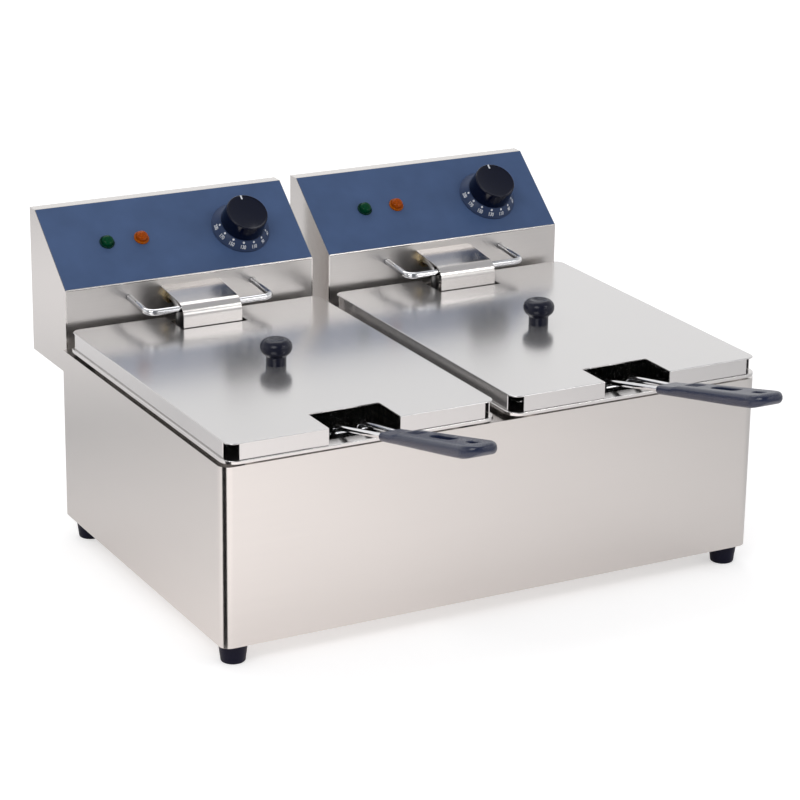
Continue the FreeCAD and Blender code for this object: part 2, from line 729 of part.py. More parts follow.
def make_lid(side):
    """Pan lid: a plate notched for the handle and the element cover, with a skirt on its straight edges."""
    body = new_body(side + "_lid")
    half = size.lid_width / 2
    front_notch = size.handle_notch_width / 2
    front_notch_end = lid_front + size.handle_notch_depth
    rear_notch = size.cover_notch_width / 2
    rear_notch_end = lid_back - size.cover_notch_depth
    plate = new_sketch(body, "XY_Plane", lid_top - size.sheet)
    outline(plate, [
        (-half, lid_front, size.lid_corner),
        (-front_notch, lid_front),
        (-front_notch, front_notch_end),
        (front_notch, front_notch_end),
        (front_notch, lid_front),
        (half, lid_front, size.lid_corner),
        (half, lid_back, size.lid_corner),
        (rear_notch, lid_back),
        (rear_notch, rear_notch_end),
        (-rear_notch, rear_notch_end),
        (-rear_notch, lid_back),
        (-half, lid_back, size.lid_corner),
    ])
    circle(plate, ZERO, lid_middle, size.knob_screw + size.tube_fit)
    top = pad(body, plate, size.sheet)
    rounded = round_edges(body, top, lambda edge: lies_at(edge, "z", lid_top) and on_lid_edge(edge),
                          size.sheet_round)
    body.Tip = rounded
    skirt = new_sketch(body, "XY_Plane", lid_bottom)
    end = half - size.skirt_setback
    for edge_sign in (-1, 1):
        outer = edge_sign * half
        inner = edge_sign * (half - size.sheet)
        left, right = (outer, inner) if edge_sign < 0 else (inner, outer)
        rectangle(skirt, left, right, lid_front + size.skirt_setback, lid_back - size.skirt_setback)
        for notch, first, second in ((front_notch, lid_front, lid_front + size.sheet),
                                     (rear_notch, lid_back - size.sheet, lid_back)):
            left, right = (-end, -notch) if edge_sign < 0 else (notch, end)
            rectangle(skirt, left, right, first, second)
    pad(body, skirt, size.lid_height - size.sheet_round)
    keep(side + "_lid", body)


def on_lid_edge(edge):
    """True for the lid's four folded edges and its corners, not for the notches or the hole."""
    middle = edge.BoundBox.Center
    inside = size.lid_width / 2 - size.lid_corner
    near_ends = middle.y < (lid_front + size.sheet).value or middle.y > (lid_back - size.sheet).value
    return abs(middle.x) > inside.value or near_ends


def make_lid_knob(side):
    """Mushroom knob of the lid, and the screw that holds it from below."""
    knob = new_body(side + "_lid_knob")
    sketch = new_sketch(knob, "XZ_Plane")
    neck = size.lid_knob_neck / 2
    head = size.lid_knob_head / 2
    bore = size.knob_screw / 2 + size.shaft_fit
    height = size.lid_knob_height
    flare = size.lid_knob_neck_height + (head - neck)
    bore_end = height / 2 + size.knob_screw / 2
    outline(sketch, [
        (bore, ZERO),
        (neck, ZERO, size.sheet),
        (neck, size.lid_knob_neck_height, 2 * size.sheet),
        (head, flare, 2 * size.sheet),
        (head, height - 3 * size.sheet, head / 2),
        (ZERO, height),
        (ZERO, bore_end),
        (bore, bore_end),
    ])
    revolve(knob, sketch)
    keep(side + "_lid_knob", knob, place(ZERO, lid_middle, lid_top))
    screw = new_body(side + "_lid_knob_screw")
    sketch = new_sketch(screw, "XZ_Plane")
    head_height = size.knob_screw_head / 3
    outline(sketch, [
        (ZERO, -size.sheet - head_height),
        (size.knob_screw_head / 2, -size.sheet - head_height, size.sheet),
        (size.knob_screw_head / 2, -size.sheet),
        (size.knob_screw / 2, -size.sheet),
        (size.knob_screw / 2, bore_end - size.sheet),
        (ZERO, bore_end - size.sheet),
    ])
    revolve(screw, sketch)
    keep(side + "_lid_knob_screw", screw, place(ZERO, lid_middle, lid_top))


# The frying basket
def mesh_panel(origin, along, up, thickness):
    """A flat mesh panel: one holed face, extruded through its thickness."""
    width = along.Length
    height = up.Length
    across = FreeCAD.Vector(along).normalize()
    upward = FreeCAD.Vector(up).normalize()
    bar = size.mesh_bar.value
    columns = max(1, round(width / size.mesh_pitch.value))
    rows = max(1, round(height / size.mesh_pitch.value))
    step_x = (width - bar) / columns
    step_y = (height - bar) / rows

    def loop(x0, x1, y0, y1):
        flat = [(x0, y0), (x1, y0), (x1, y1), (x0, y1), (x0, y0)]
        return Part.makePolygon([origin + across * x + upward * y for x, y in flat])

    gaps = []
    for i in range(columns):
        for j in range(rows):
            gaps.append(loop(bar + i * step_x, (i + 1) * step_x, bar + j * step_y, (j + 1) * step_y))
    face = Part.makeFace([loop(0, width, 0, height)] + gaps, "Part::FaceMakerBullseye")
    return face.extrude(thickness)


def make_basket_mesh(side):
    """Floor and four walls of the basket, each a flat mesh panel."""
    half = size.basket_width / 2
    front = size.basket_front
    back = basket_back
    floor = basket_floor
    wall_foot = basket_floor + size.mesh_sheet
    skin = size.mesh_sheet.value
    wall_up = vector(0, 0, size.basket_height - size.mesh_sheet)
    across = vector(size.basket_width, 0, 0)
    along = vector(0, size.basket_length - 2 * size.mesh_sheet, 0)
    panels = [
        mesh_panel(vector(-half, front, floor), across, vector(0, size.basket_length, 0), vector(0, 0, skin)),
        mesh_panel(vector(-half, front, wall_foot), across, wall_up, vector(0, skin, 0)),
        mesh_panel(vector(-half, back, wall_foot), across, wall_up, vector(0, -skin, 0)),
        mesh_panel(vector(-half, front + size.mesh_sheet, wall_foot), along, wall_up, vector(skin, 0, 0)),
        mesh_panel(vector(half, front + size.mesh_sheet, wall_foot), along, wall_up, vector(-skin, 0, 0)),
    ]
    keep(side + "_basket_mesh", shape_feature(side + "_basket_mesh", Part.makeCompound(panels)))


def make_basket_frame(side):
    """Rim wire of the basket, two cradle wires under the mesh, and the hook at the back."""
    half = (size.basket_width - size.mesh_sheet) / 2
    front = size.basket_front + size.mesh_sheet / 2
    back = basket_back - size.mesh_sheet / 2
    bend = size.basket_rim_bend.value
    middle = vector(0, front, basket_rim)
    ring = [middle, vector(half, front, basket_rim), vector(half, back, basket_rim),
            vector(-half, back, basket_rim), vector(-half, front, basket_rim), middle]
    rim = bent_bar(ring, [bend] * 4, size.basket_rim_wire.value)
    parts = []
    reach = size.basket_width / 2 + size.cradle_gap + size.support_wire / 2
    for share in (1, 2):
        y = size.basket_front + size.basket_length * share / 3
        cradle = [vector(-reach, y, basket_rim), vector(-reach, y, support_level),
                  vector(reach, y, support_level), vector(reach, y, basket_rim)]
        parts.append(bent_bar(cradle, [size.support_bend.value] * 2, size.support_wire.value))
    strap = size.hook_strap
    top = basket_rim + size.hook_rise
    rear = basket_back + size.hook_reach
    foot = top - size.hook_drop
    left = -size.hook_width / 2
    profile = [(basket_back, basket_rim), (basket_back, top), (rear, top), (rear, foot),
               (rear - strap, foot), (rear - strap, top - strap), (basket_back + strap, top - strap),
               (basket_back + strap, basket_rim), (basket_back, basket_rim)]
    hook = Part.Face(Part.makePolygon([vector(left, y, z) for y, z in profile]))
    parts.append(hook.extrude(vector(size.hook_width, 0, 0)))
    frame = rim.multiFuse(parts).removeSplitter()
    keep(side + "_basket_frame", shape_feature(side + "_basket_frame", frame))


def handle_wire_path(sign):
    """One handle wire: down the front of the mesh, over the rim of the tank and into the grip."""
    spread = sign * size.handle_wire_spread / 2
    grip_spread = sign * size.handle_wire_grip_spread / 2
    insert = size.handle_wire_insert
    run = insert * cosine(size.handle_slope)
    rise = insert * sine(size.handle_slope)
    return [
        vector(spread, handle_line, handle_corner - size.handle_wire_drop),
        vector(spread, handle_line, handle_corner),
        vector(grip_spread, grip_front, grip_level),
        vector(grip_spread, grip_front - run, grip_level + rise),
    ]


def make_handle_wires(side):
    """The two bent wires of the basket handle."""
    bends = [size.handle_bend.value, 2 * size.handle_bend.value]
    wires = [bent_bar(handle_wire_path(sign), bends, size.handle_wire.value) for sign in (-1, 1)]
    keep(side + "_handle_wires", shape_feature(side + "_handle_wires", Part.makeCompound(wires)))


def make_handle_grip(side):
    """Moulded grip: wider and thicker towards its round outer end, with a slot and a hanging hole."""
    body = new_body(side + "_handle_grip")
    inner = size.grip_inner_width / 2
    outer = size.grip_outer_width / 2
    length = size.grip_length
    bottom = -size.grip_outer_drop
    thickness = size.grip_top + size.grip_outer_drop
    plan = new_sketch(body, "XY_Plane", bottom)
    outline(plan, [
        (-inner, ZERO, size.grip_round),
        (-outer, -length, outer - size.sheet_round),
        (outer, -length, outer - size.sheet_round),
        (inner, ZERO, size.grip_round),
    ])
    pad(body, plan, thickness)
    wedge = new_sketch(body, "YZ_Plane")
    outline(wedge, [
        (ZERO, -size.grip_inner_drop),
        (-length, bottom),
        (-length, bottom - thickness),
        (thickness, bottom - thickness),
        (thickness, -size.grip_inner_drop),
    ])
    tapered = pocket(body, wedge, 2 * size.grip_outer_width, both_ways=True)
    upright = size.grip_inner_drop.value
    round_edges(body, tapered, lambda edge: edge.BoundBox.ZLength < upright, size.grip_round)
    holes = new_sketch(body, "XY_Plane")
    for across, along, at in ((size.grip_slot_width, size.grip_slot_length, size.grip_slot_at),
                              (size.grip_hole_width, size.grip_hole_length, size.grip_hole_at)):
        rectangle(holes, -across / 2, across / 2, -at - along / 2, -at + along / 2,
                  across / 2 - size.tube_fit)
    pocket(body, holes, 4 * thickness, both_ways=True)
    bores = new_sketch(body, "XZ_Plane")
    for sign in (-1, 1):
        circle(bores, sign * size.handle_wire_grip_spread / 2, ZERO, size.handle_wire + 2 * size.shaft_fit)
    pocket(body, bores, 2 * size.handle_wire_insert, both_ways=True)
    keep(side + "_handle_grip", body, place(ZERO, grip_front, grip_level, -size.handle_slope))


# The heating element and the parts round its legs
def make_heating_element(side):
    """One bent tube: two legs out of the head and a flat run of loops under the basket."""
    turn = size.element_turn
    spread = size.leg_spread / 2
    front = size.tank_front + size.element_front
    back = tank_back - size.element_back
    inner = front + 3 * turn
    second = spread + 2 * turn
    third = second + 2 * turn
    half = [
        vector(spread, head_front + size.leg_inside, leg_level),
        vector(spread, leg_line, leg_level),
        vector(spread, leg_line, element_level),
        vector(spread, inner - turn, element_level),
        vector(second, inner - turn, element_level),
        vector(second, back, element_level),
        vector(third, back, element_level),
        vector(third, front, element_level),
    ]
    mirrored = [FreeCAD.Vector(-point.x, point.y, point.z) for point in reversed(half)]
    bend = size.leg_bend.value
    radius = turn.value
    tight = radius - 1e-3
    half_bends = [bend, bend, tight, tight, tight, tight, radius]
    path = bent_path(half + mirrored, half_bends + list(reversed(half_bends)))
    tube = round_bar(path, size.tube.value)
    keep(side + "_heating_element", shape_feature(side + "_heating_element", tube))


def make_element_nuts(side):
    """Nuts of the two legs and of the capillary, on both faces of the upright panel."""
    forward = FreeCAD.Rotation(FreeCAD.Vector(1, 0, 0), 90)
    solids = []
    spread = size.leg_spread / 2
    for x, width, bore in ((-spread, size.nut_width, size.tube), (spread, size.nut_width, size.tube),
                           (ZERO, size.probe_nut_width, size.capillary)):
        height = size.nut_height.value
        nut = hexagon_nut(width.value, height, (bore + size.tube_fit).value)
        for y in (head_front, head_front + size.sheet + size.nut_height):
            piece = nut.copy()
            piece.Placement = FreeCAD.Placement(vector(x, y, leg_level), forward)
            solids.append(piece)
    keep(side + "_element_nuts", shape_feature(side + "_element_nuts", Part.makeCompound(solids)))


def make_temperature_probe(side):
    """Capillary of the thermostat, ending in a bulb that lies between the heating tubes."""
    bend = size.leg_bend.value
    bulb_start = leg_line - 2 * size.leg_bend
    path = [
        vector(0, head_front + size.leg_inside, leg_level),
        vector(0, leg_line, leg_level),
        vector(0, leg_line, element_level),
        vector(0, bulb_start, element_level),
    ]
    capillary = bent_bar(path, [bend, bend], size.capillary.value)
    bulb = Part.makeCylinder(size.probe.value / 2, size.probe_length.value,
                             vector(0, bulb_start, element_level), FreeCAD.Vector(0, -1, 0))
    keep(side + "_temperature_probe", shape_feature(side + "_temperature_probe", capillary.fuse(bulb)))


def make_element_cover(side):
    """Bent guard over the element's legs, from the upright panel down into the lid's notch."""
    body = new_body(side + "_element_cover")
    front = head_front - size.cover_reach
    start = deck + size.cover_height
    fall = tangent(size.cover_fall)
    skin = size.sheet / cosine(size.cover_fall)
    corner = start - size.cover_reach * fall
    inner_corner = start - skin - (size.cover_reach - size.sheet) * fall
    foot = deck + size.cover_foot
    sketch = new_sketch(body, "YZ_Plane")
    outline(sketch, [
        (head_front, start),
        (front, corner, size.cover_bend),
        (front, foot),
        (front + size.sheet, foot),
        (front + size.sheet, inner_corner, size.cover_bend - size.sheet),
        (head_front, start - skin),
    ])
    pad(body, sketch, size.cover_width, both_ways=True)
    keep(side + "_element_cover", body, place(size.cover_offset))


def make_basket_hanger(side):
    """Bent wire on the head: the basket hangs on it to drain."""
    half = size.hanger_width / 2
    level = deck + size.hanger_height
    front = head_front - size.hanger_reach
    slope = size.hanger_fall / size.hanger_reach
    rear_level = level + size.hanger_inside * slope
    rear = head_front + size.hanger_inside
    low = level - size.hanger_fall
    path = [vector(-half, rear, rear_level), vector(-half, front, low), vector(half, front, low),
            vector(half, rear, rear_level)]
    bend = size.hanger_bend.value
    wire = bent_bar(path, [bend, bend], size.hanger_wire.value)
    keep(side + "_basket_hanger", shape_feature(side + "_basket_hanger", wire))


# The control head
def make_head_housing(side):
    """Sides, top and back of the head, open at its front and bottom."""
    body = new_body(side + "_head_housing")
    sketch = new_sketch(body, "YZ_Plane")
    outline(sketch, [
        (head_front, head_bottom),
        (head_back, head_bottom),
        (head_back, head_ceiling),
        (head_back - size.head_top, head_ceiling),
        (head_front, kink),
    ])
    pad(body, sketch, size.head_width, both_ways=True)
    inside = new_sketch(body, "YZ_Plane")
    back = head_back - size.sheet
    ceiling = head_ceiling - size.sheet
    front = head_front - size.head_depth
    outline(inside, [(front, head_bottom - size.head_drop), (back, head_bottom - size.head_drop),
                     (back, ceiling), (front, ceiling)])
    pocket(body, inside, size.head_width - 2 * size.sheet, both_ways=True)
    bore = new_sketch(body, "XZ_Plane", -head_back)
    circle(bore, size.gland_across, head_bottom + size.gland_up, size.gland_thread + size.tube_fit)
    pocket(body, bore, size.head_top, both_ways=True)
    keep(side + "_head_housing", body)


def make_head_base(side):
    """Bottom of the head: a tray between the housing's walls."""
    body = new_body(side + "_head_base")
    half = size.head_width / 2 - size.sheet
    front = head_front + size.sheet
    back = head_back - size.sheet
    plate = new_sketch(body, "XY_Plane", head_bottom)
    rectangle(plate, -half, half, front, back)
    pad(body, plate, size.sheet)
    rim = new_sketch(body, "XY_Plane", head_bottom)
    for sign in (-1, 1):
        left, right = sorted((sign * half, sign * (half - size.sheet)), key=lambda edge: edge.value)
        rectangle(rim, left, right, front, back)
    pad(body, rim, size.head_base_rim)
    keep(side + "_head_base", body)


def slope_sketch(body):
    """A sketch on the sloped panel: its origin is the middle of the panel's lower edge."""
    sketch = new_sketch(body, "XY_Plane")
    tilt = FreeCAD.Rotation(FreeCAD.Vector(1, 0, 0), slope_angle.value)
    sketch.AttachmentOffset = FreeCAD.Placement(vector(0, head_front, kink), tilt)
    bind(sketch, ".AttachmentOffset.Base.y", head_front)
    bind(sketch, ".AttachmentOffset.Base.z", kink)
    bind(sketch, ".AttachmentOffset.Rotation.Angle", slope_angle)
    return sketch


def control_holes(sketch):
    """Holes for the thermostat's collar and the two lamps."""
    circle(sketch, size.dial_across, size.dial_up, size.thermostat_collar + size.tube_fit)
    for across in (size.power_lamp_across, size.heat_lamp_across):
        circle(sketch, across, size.lamp_up, size.lamp_body + size.tube_fit)


def make_front_panel(side):
    """Front of the head in one folded sheet: an upright part and the sloped control panel."""
    body = new_body(side + "_front_panel")
    sketch = new_sketch(body, "YZ_Plane")
    shift = size.sheet * tangent(slope_angle / 2)
    top_inner = head_back - size.head_top + size.sheet / sine(slope_angle)
    under_top = head_ceiling - size.sheet
    top_outer = head_back - size.head_top - size.sheet / tangent(slope_angle)
    outline(sketch, [
        (head_front, head_bottom),
        (head_front + size.sheet, head_bottom),
        (head_front + size.sheet, kink - shift),
        (top_inner - size.sheet / tangent(slope_angle), under_top),
        (top_outer, under_top),
        (head_front, kink),
    ])
    pad(body, sketch, size.head_width - 2 * size.sheet, both_ways=True)
    holes = slope_sketch(body)
    control_holes(holes)
    pocket(body, holes, 4 * size.sheet, both_ways=True)
    upright = new_sketch(body, "XZ_Plane", -head_front)
    spread = size.leg_spread / 2
    for x in (-spread, spread):
        circle(upright, x, leg_level, size.tube + size.tube_fit)
    circle(upright, ZERO, leg_level, size.capillary + size.tube_fit)
    for sign in (-1, 1):
        circle(upright, sign * size.hanger_width / 2, deck + size.hanger_height,
               size.hanger_wire + 2 * size.tube_fit)
    pocket(body, upright, 4 * size.sheet, both_ways=True)
    keep(side + "_front_panel", body)


def make_mounting_tongue(side):
    """Bent strip on the front of the head that hooks into the slot of the deck."""
    body = new_body(side + "_mounting_tongue")
    line = head_front - size.tongue_reach
    half = size.tongue_sheet / 2
    seat = deck + size.seat_gap
    sketch = new_sketch(body, "YZ_Plane")
    outline(sketch, [
        (line - half, deck - size.tongue_drop),
        (line + half, deck - size.tongue_drop),
        (line + half, seat),
        (head_front - size.tongue_sheet, seat),
        (head_front, seat),
        (head_front, seat + size.tongue_flange),
        (head_front - size.tongue_sheet, seat + size.tongue_flange),
        (head_front - size.tongue_sheet, seat + size.tongue_sheet),
        (line - half, seat + size.tongue_sheet),
    ])
    pad(body, sketch, size.tongue_width, both_ways=True)
    keep(side + "_mounting_tongue", body)


def panel_place(across, up):
    """A place on the sloped panel, with Z along its outward normal."""
    y = head_front + up * cosine(slope_angle)
    z = kink + up * sine(slope_angle)
    return place(across, y, z, slope_angle)


def make_control_overlay(side):
    """Thin coloured overlay on the sloped panel."""
    body = new_body(side + "_control_overlay")
    sketch = new_sketch(body, "XY_Plane")
    half = size.head_width / 2 - size.overlay_margin
    rectangle(sketch, -half, half, size.overlay_margin, slope_length - size.overlay_margin)
    control_holes(sketch)
    pad(body, sketch, size.overlay_sheet)
    keep(side + "_control_overlay", body, panel_place(ZERO, ZERO))


def make_dial_ring(side):
    """Fixed ring round the thermostat knob that carries the temperature scale."""
    body = new_body(side + "_dial_ring")
    sketch = new_sketch(body, "XZ_Plane")
    foot = size.overlay_sheet
    top = foot + size.dial_ring_height
    outer = size.dial_ring / 2
    bore = size.thermostat_collar / 2 + size.tube_fit
    outline(sketch, [(bore, foot), (outer, foot), (outer, top - size.dial_ring_slope),
                     (outer - size.dial_ring_slope, top), (bore, top)])
    revolve(body, sketch)
    keep(side + "_dial_ring", body, panel_place(size.dial_across, size.dial_up))


def knob_base():
    return size.overlay_sheet + size.dial_ring_height + size.knob_gap


def make_thermostat_knob(side):
    """Round thermostat knob with an index line at its edge."""
    body = new_body(side + "_thermostat_knob")
    base = knob_base()
    top = base + size.knob_height
    bore = size.shaft / 2 + size.shaft_fit
    hub = base + size.shaft_grip + size.seat_gap
    sketch = new_sketch(body, "XZ_Plane")
    outline(sketch, [
        (bore, base),
        (size.knob_foot / 2, base),
        (size.knob_top / 2, top, size.knob_bevel),
        (ZERO, top),
        (ZERO, hub),
        (bore, hub),
    ])
    revolve(body, sketch)
    line = new_sketch(body, "XY_Plane", top)
    outer = size.knob_top / 2 - size.knob_bevel
    half = size.index_width / 2
    rectangle(line, -half, half, outer - size.index_length, outer)
    pocket(body, line, size.index_depth)
    keep(side + "_thermostat_knob", body, panel_place(size.dial_across, size.dial_up))


def make_thermostat(side):
    """Capillary thermostat behind the panel, with its collar through it."""
    body = new_body(side + "_thermostat")
    back = -size.sheet
    plate = new_sketch(body, "XY_Plane", back - size.sheet)
    half = size.thermostat_plate / 2
    half_length = size.thermostat_length / 2
    rectangle(plate, -half, half, -half_length, half_length)
    pad(body, plate, size.sheet)
    case = new_sketch(body, "XY_Plane", back - size.sheet - size.thermostat_depth)
    half_width = size.thermostat_width / 2
    rectangle(case, -half_width, half_width, -half_length, half_length, 4 * size.sheet)
    pad(body, case, size.thermostat_depth)
    collar = new_sketch(body, "XY_Plane", back - size.sheet)
    circle(collar, ZERO, ZERO, size.thermostat_collar)
    pad(body, collar, 2 * size.sheet + size.overlay_sheet + size.dial_ring_height)
    bore = new_sketch(body, "XY_Plane", knob_base())
    circle(bore, ZERO, ZERO, size.shaft + 2 * size.shaft_fit)
    pocket(body, bore, knob_base() + size.shaft_inside + size.seat_gap)
    keep(side + "_thermostat", body, panel_place(size.dial_across, size.dial_up))


def make_thermostat_shaft(side):
    """Shaft that turns with the knob inside the thermostat's collar."""
    body = new_body(side + "_thermostat_shaft")
    sketch = new_sketch(body, "XY_Plane", -size.shaft_inside)
    circle(sketch, ZERO, ZERO, size.shaft)
    pad(body, sketch, size.shaft_inside + knob_base() + size.shaft_grip)
    keep(side + "_thermostat_shaft", body, panel_place(size.dial_across, size.dial_up))


def make_lamp(side, name, across):
    """Pilot lamp: a domed lens in a bezel, and its body behind the panel."""
    body = new_body(side + name)
    sketch = new_sketch(body, "XZ_Plane")
    foot = size.overlay_sheet
    bezel = foot + size.lamp_bezel_height
    top = bezel + size.lamp_lens_height
    outline(sketch, [
        (ZERO, -size.lamp_depth),
        (size.lamp_body / 2, -size.lamp_depth),
        (size.lamp_body / 2, foot),
        (size.lamp_bezel / 2, foot),
        (size.lamp_bezel / 2, bezel, size.sheet_round),
        (size.lamp_lens / 2, bezel),
        (size.lamp_lens / 2, top, size.lamp_lens_height - size.sheet_round),
        (ZERO, top),
    ])
    revolve(body, sketch)
    keep(side + name, body, panel_place(across, size.lamp_up))


def make_lamps(side):
    make_lamp(side, "_power_lamp", size.power_lamp_across)
    make_lamp(side, "_heating_lamp", size.heat_lamp_across)


# Electrical parts inside the head
def make_terminal_block(side):
    """Three-way terminal block on the base of the head."""
    body = new_body(side + "_terminal_block")
    foot = head_bottom + size.sheet
    top = foot + size.terminal_height
    middle = (head_front + head_back) / 2
    half = size.terminal_width / 2
    block = new_sketch(body, "XY_Plane", foot)
    rectangle(block, -half, half, middle - size.terminal_depth / 2, middle + size.terminal_depth / 2)
    pad(body, block, size.terminal_height)
    slots = new_sketch(body, "XY_Plane", top)
    for step in (-1, 0, 1):
        at = step * size.terminal_pitch
        rectangle(slots, at - size.terminal_slot / 2, at + size.terminal_slot / 2,
                  middle - size.terminal_depth, middle + size.terminal_depth)
    pocket(body, slots, size.terminal_slot_depth)
    keep(side + "_terminal_block", body)


def make_limit_thermostat(side):
    """Safety cut-out on the inside of the head's back wall."""
    body = new_body(side + "_limit_thermostat")
    level = head_bottom + size.limiter_up
    wall = head_back - size.sheet
    flange = new_sketch(body, "XZ_Plane", -wall)
    half = size.limiter_flange / 2
    thin = size.limiter_can / 4
    rectangle(flange, size.limiter_across - half, size.limiter_across + half, level - thin, level + thin)
    pad(body, flange, 2 * size.sheet)
    can = new_sketch(body, "XZ_Plane", -wall)
    circle(can, size.limiter_across, level, size.limiter_can)
    pad(body, can, size.limiter_depth)
    keep(side + "_limit_thermostat", body)


def make_cable_gland(side):
    """Cable gland in the head's back wall, bored for a mains lead."""
    thread = size.gland_thread.value
    inside = (size.sheet + size.gland_nut_height).value
    bore = size.gland_bore.value
    nut = hexagon_nut(size.gland_nut.value, size.gland_nut_height.value, bore)
    neck = Part.makeCylinder(thread / 2, inside, FreeCAD.Vector(0, 0, -inside))
    cap_foot = FreeCAD.Vector(0, 0, size.gland_nut_height.value)
    cap_height = size.gland_cap_height.value
    cap = Part.makeCone(size.gland_cap.value / 2, thread / 2, cap_height, cap_foot)
    hole = Part.makeCylinder(bore / 2, 4 * inside + cap_height, FreeCAD.Vector(0, 0, -2 * inside))
    gland = nut.multiFuse([neck, cap]).cut(hole)
    outwards = FreeCAD.Rotation(FreeCAD.Vector(1, 0, 0), -90)
    at = vector(size.gland_across, head_back, head_bottom + size.gland_up)
    keep(side + "_cable_gland", shape_feature(side + "_cable_gland", gland), FreeCAD.Placement(at, outwards))


CASE_PIECES = [make_case_shell, make_base_plate, make_top_deck, make_rear_panel, make_feet]
UNIT_PIECES = [
    make_tank, make_lid, make_lid_knob, make_basket_mesh, make_basket_frame, make_handle_wires,
    make_handle_grip, make_heating_element, make_element_nuts, make_temperature_probe, make_element_cover,
    make_basket_hanger, make_head_housing, make_head_base, make_front_panel, make_mounting_tongue,
    make_control_overlay, make_dial_ring, make_thermostat_knob, make_thermostat, make_thermostat_shaft,
    make_lamps, make_terminal_block, make_limit_thermostat, make_cable_gland,
]

for make_piece in CASE_PIECES:
    make_piece()
unit_offsets = {}
for side, sign in (("left", -1), ("right", 1)):
    for make_piece in UNIT_PIECES:
        known = set(nodes)
        make_piece(side)
        for label in set(nodes) - known:
            unit_offsets[label] = vector(sign * size.unit_pitch / 2, 0, 0)
doc.recompute()


def put_in_place(forward):
    """Stand every piece in its unit, moved along Y by the given amount."""
    for label, (piece, placement) in nodes.items():
        move = unit_offsets.get(label, FreeCAD.Vector()) + FreeCAD.Vector(0, forward, 0)
        piece.Placement = FreeCAD.Placement(move, FreeCAD.Rotation()) * placement
    doc.recompute()


def whole_box():
    box = FreeCAD.BoundBox()
    for piece, placement in nodes.values():
        box.add(piece.Shape.optimalBoundingBox())
    return box


# The origin is under the middle of the whole fryer, on the surface that it stands on
put_in_place(0)
middle_line = whole_box().Center.y
put_in_place(-middle_line)

for item in doc.Objects:
    if "Invalid" in item.State or "Error" in item.State:
        raise ValueError("%s could not be built" % item.Label)
for label, (piece, placement) in nodes.items():
    if piece.Shape.isNull() or not piece.Shape.isValid():
        raise ValueError("%s has no valid shape" % label)

os.makedirs("parts", exist_ok=True)
for label, (piece, placement) in nodes.items():
    piece.Shape.exportStep("parts/%s.step" % label)

box = whole_box()
print("pieces: %d" % len(nodes))
print("overall size: %.1f x %.1f x %.1f mm" % (box.XLength, box.YLength, box.ZLength))
print("front of the case at y = %.3f mm" % -middle_line)
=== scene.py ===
import json
import math

import bpy
from mathutils import Matrix, Vector


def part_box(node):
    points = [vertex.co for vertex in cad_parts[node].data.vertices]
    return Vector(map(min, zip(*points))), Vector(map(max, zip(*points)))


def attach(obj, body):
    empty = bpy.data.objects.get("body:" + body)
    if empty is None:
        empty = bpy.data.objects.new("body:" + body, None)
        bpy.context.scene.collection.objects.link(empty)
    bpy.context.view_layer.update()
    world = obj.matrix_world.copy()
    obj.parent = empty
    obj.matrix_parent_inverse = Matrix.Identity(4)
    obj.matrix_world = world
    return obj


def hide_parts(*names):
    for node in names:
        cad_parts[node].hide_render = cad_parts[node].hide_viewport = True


# Twin countertop deep fryer. Lengths are in metres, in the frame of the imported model: +Z up, +Y to the
# back, and the origin on the floor under the middle of the part.

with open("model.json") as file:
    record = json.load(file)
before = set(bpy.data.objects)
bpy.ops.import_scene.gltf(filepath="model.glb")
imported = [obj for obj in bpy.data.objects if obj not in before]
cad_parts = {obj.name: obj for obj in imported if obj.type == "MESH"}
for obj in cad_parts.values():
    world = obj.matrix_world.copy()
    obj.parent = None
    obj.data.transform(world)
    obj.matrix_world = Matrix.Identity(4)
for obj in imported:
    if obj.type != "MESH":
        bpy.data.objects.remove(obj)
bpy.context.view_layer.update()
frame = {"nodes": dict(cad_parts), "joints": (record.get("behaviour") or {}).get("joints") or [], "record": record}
nodes = frame["nodes"]
joints = {joint["name"]: joint for joint in frame["joints"]}
SIDES = ("left", "right")
MM = 0.001
BLACK = (0.0, 0.0, 0.0)
WHITE = (1.0, 1.0, 1.0)


# Shader nodes
NOISE_LOW = 0.3
NOISE_HIGH = 0.7
MIX_SHARE, MIX_FIRST, MIX_SECOND, MIX_RESULT = 0, 6, 7, 2


def new_material(name, colour, metallic=0.0, roughness=0.5):
    """A node material with a Principled shader, and the handles for building on it."""
    material = bpy.data.materials.new(name)
    material.use_nodes = True
    tree = material.node_tree
    shader = tree.nodes["Principled BSDF"]
    shader.inputs["Base Color"].default_value = (*colour, 1.0)
    shader.inputs["Metallic"].default_value = metallic
    shader.inputs["Roughness"].default_value = roughness
    return material, tree, shader


def even(scale):
    """The same noise scale along each axis."""
    return (scale, scale, scale)


def add_noise(tree, scale, detail=3.0, roughness=0.55):
    """A noise value in object space, stretched by a scale along each axis."""
    place = tree.nodes.new("ShaderNodeTexCoord")
    mapping = tree.nodes.new("ShaderNodeMapping")
    mapping.inputs["Scale"].default_value = scale
    noise = tree.nodes.new("ShaderNodeTexNoise")
    noise.inputs["Scale"].default_value = 1.0
    noise.inputs["Detail"].default_value = detail
    noise.inputs["Roughness"].default_value = roughness
    tree.links.new(place.outputs["Object"], mapping.inputs["Vector"])
    tree.links.new(mapping.outputs["Vector"], noise.inputs["Vector"])
    return noise.outputs["Fac"]


def add_ramp(tree, source, *stops):
    """A colour that runs between two stops as a value rises; each stop is a position and a colour."""
    ramp = tree.nodes.new("ShaderNodeValToRGB")
    for element, (position, colour) in zip(ramp.color_ramp.elements, stops):
        element.position = position
        element.color = (*colour, 1.0)
    tree.links.new(source, ramp.inputs["Fac"])
    return ramp.outputs["Color"]


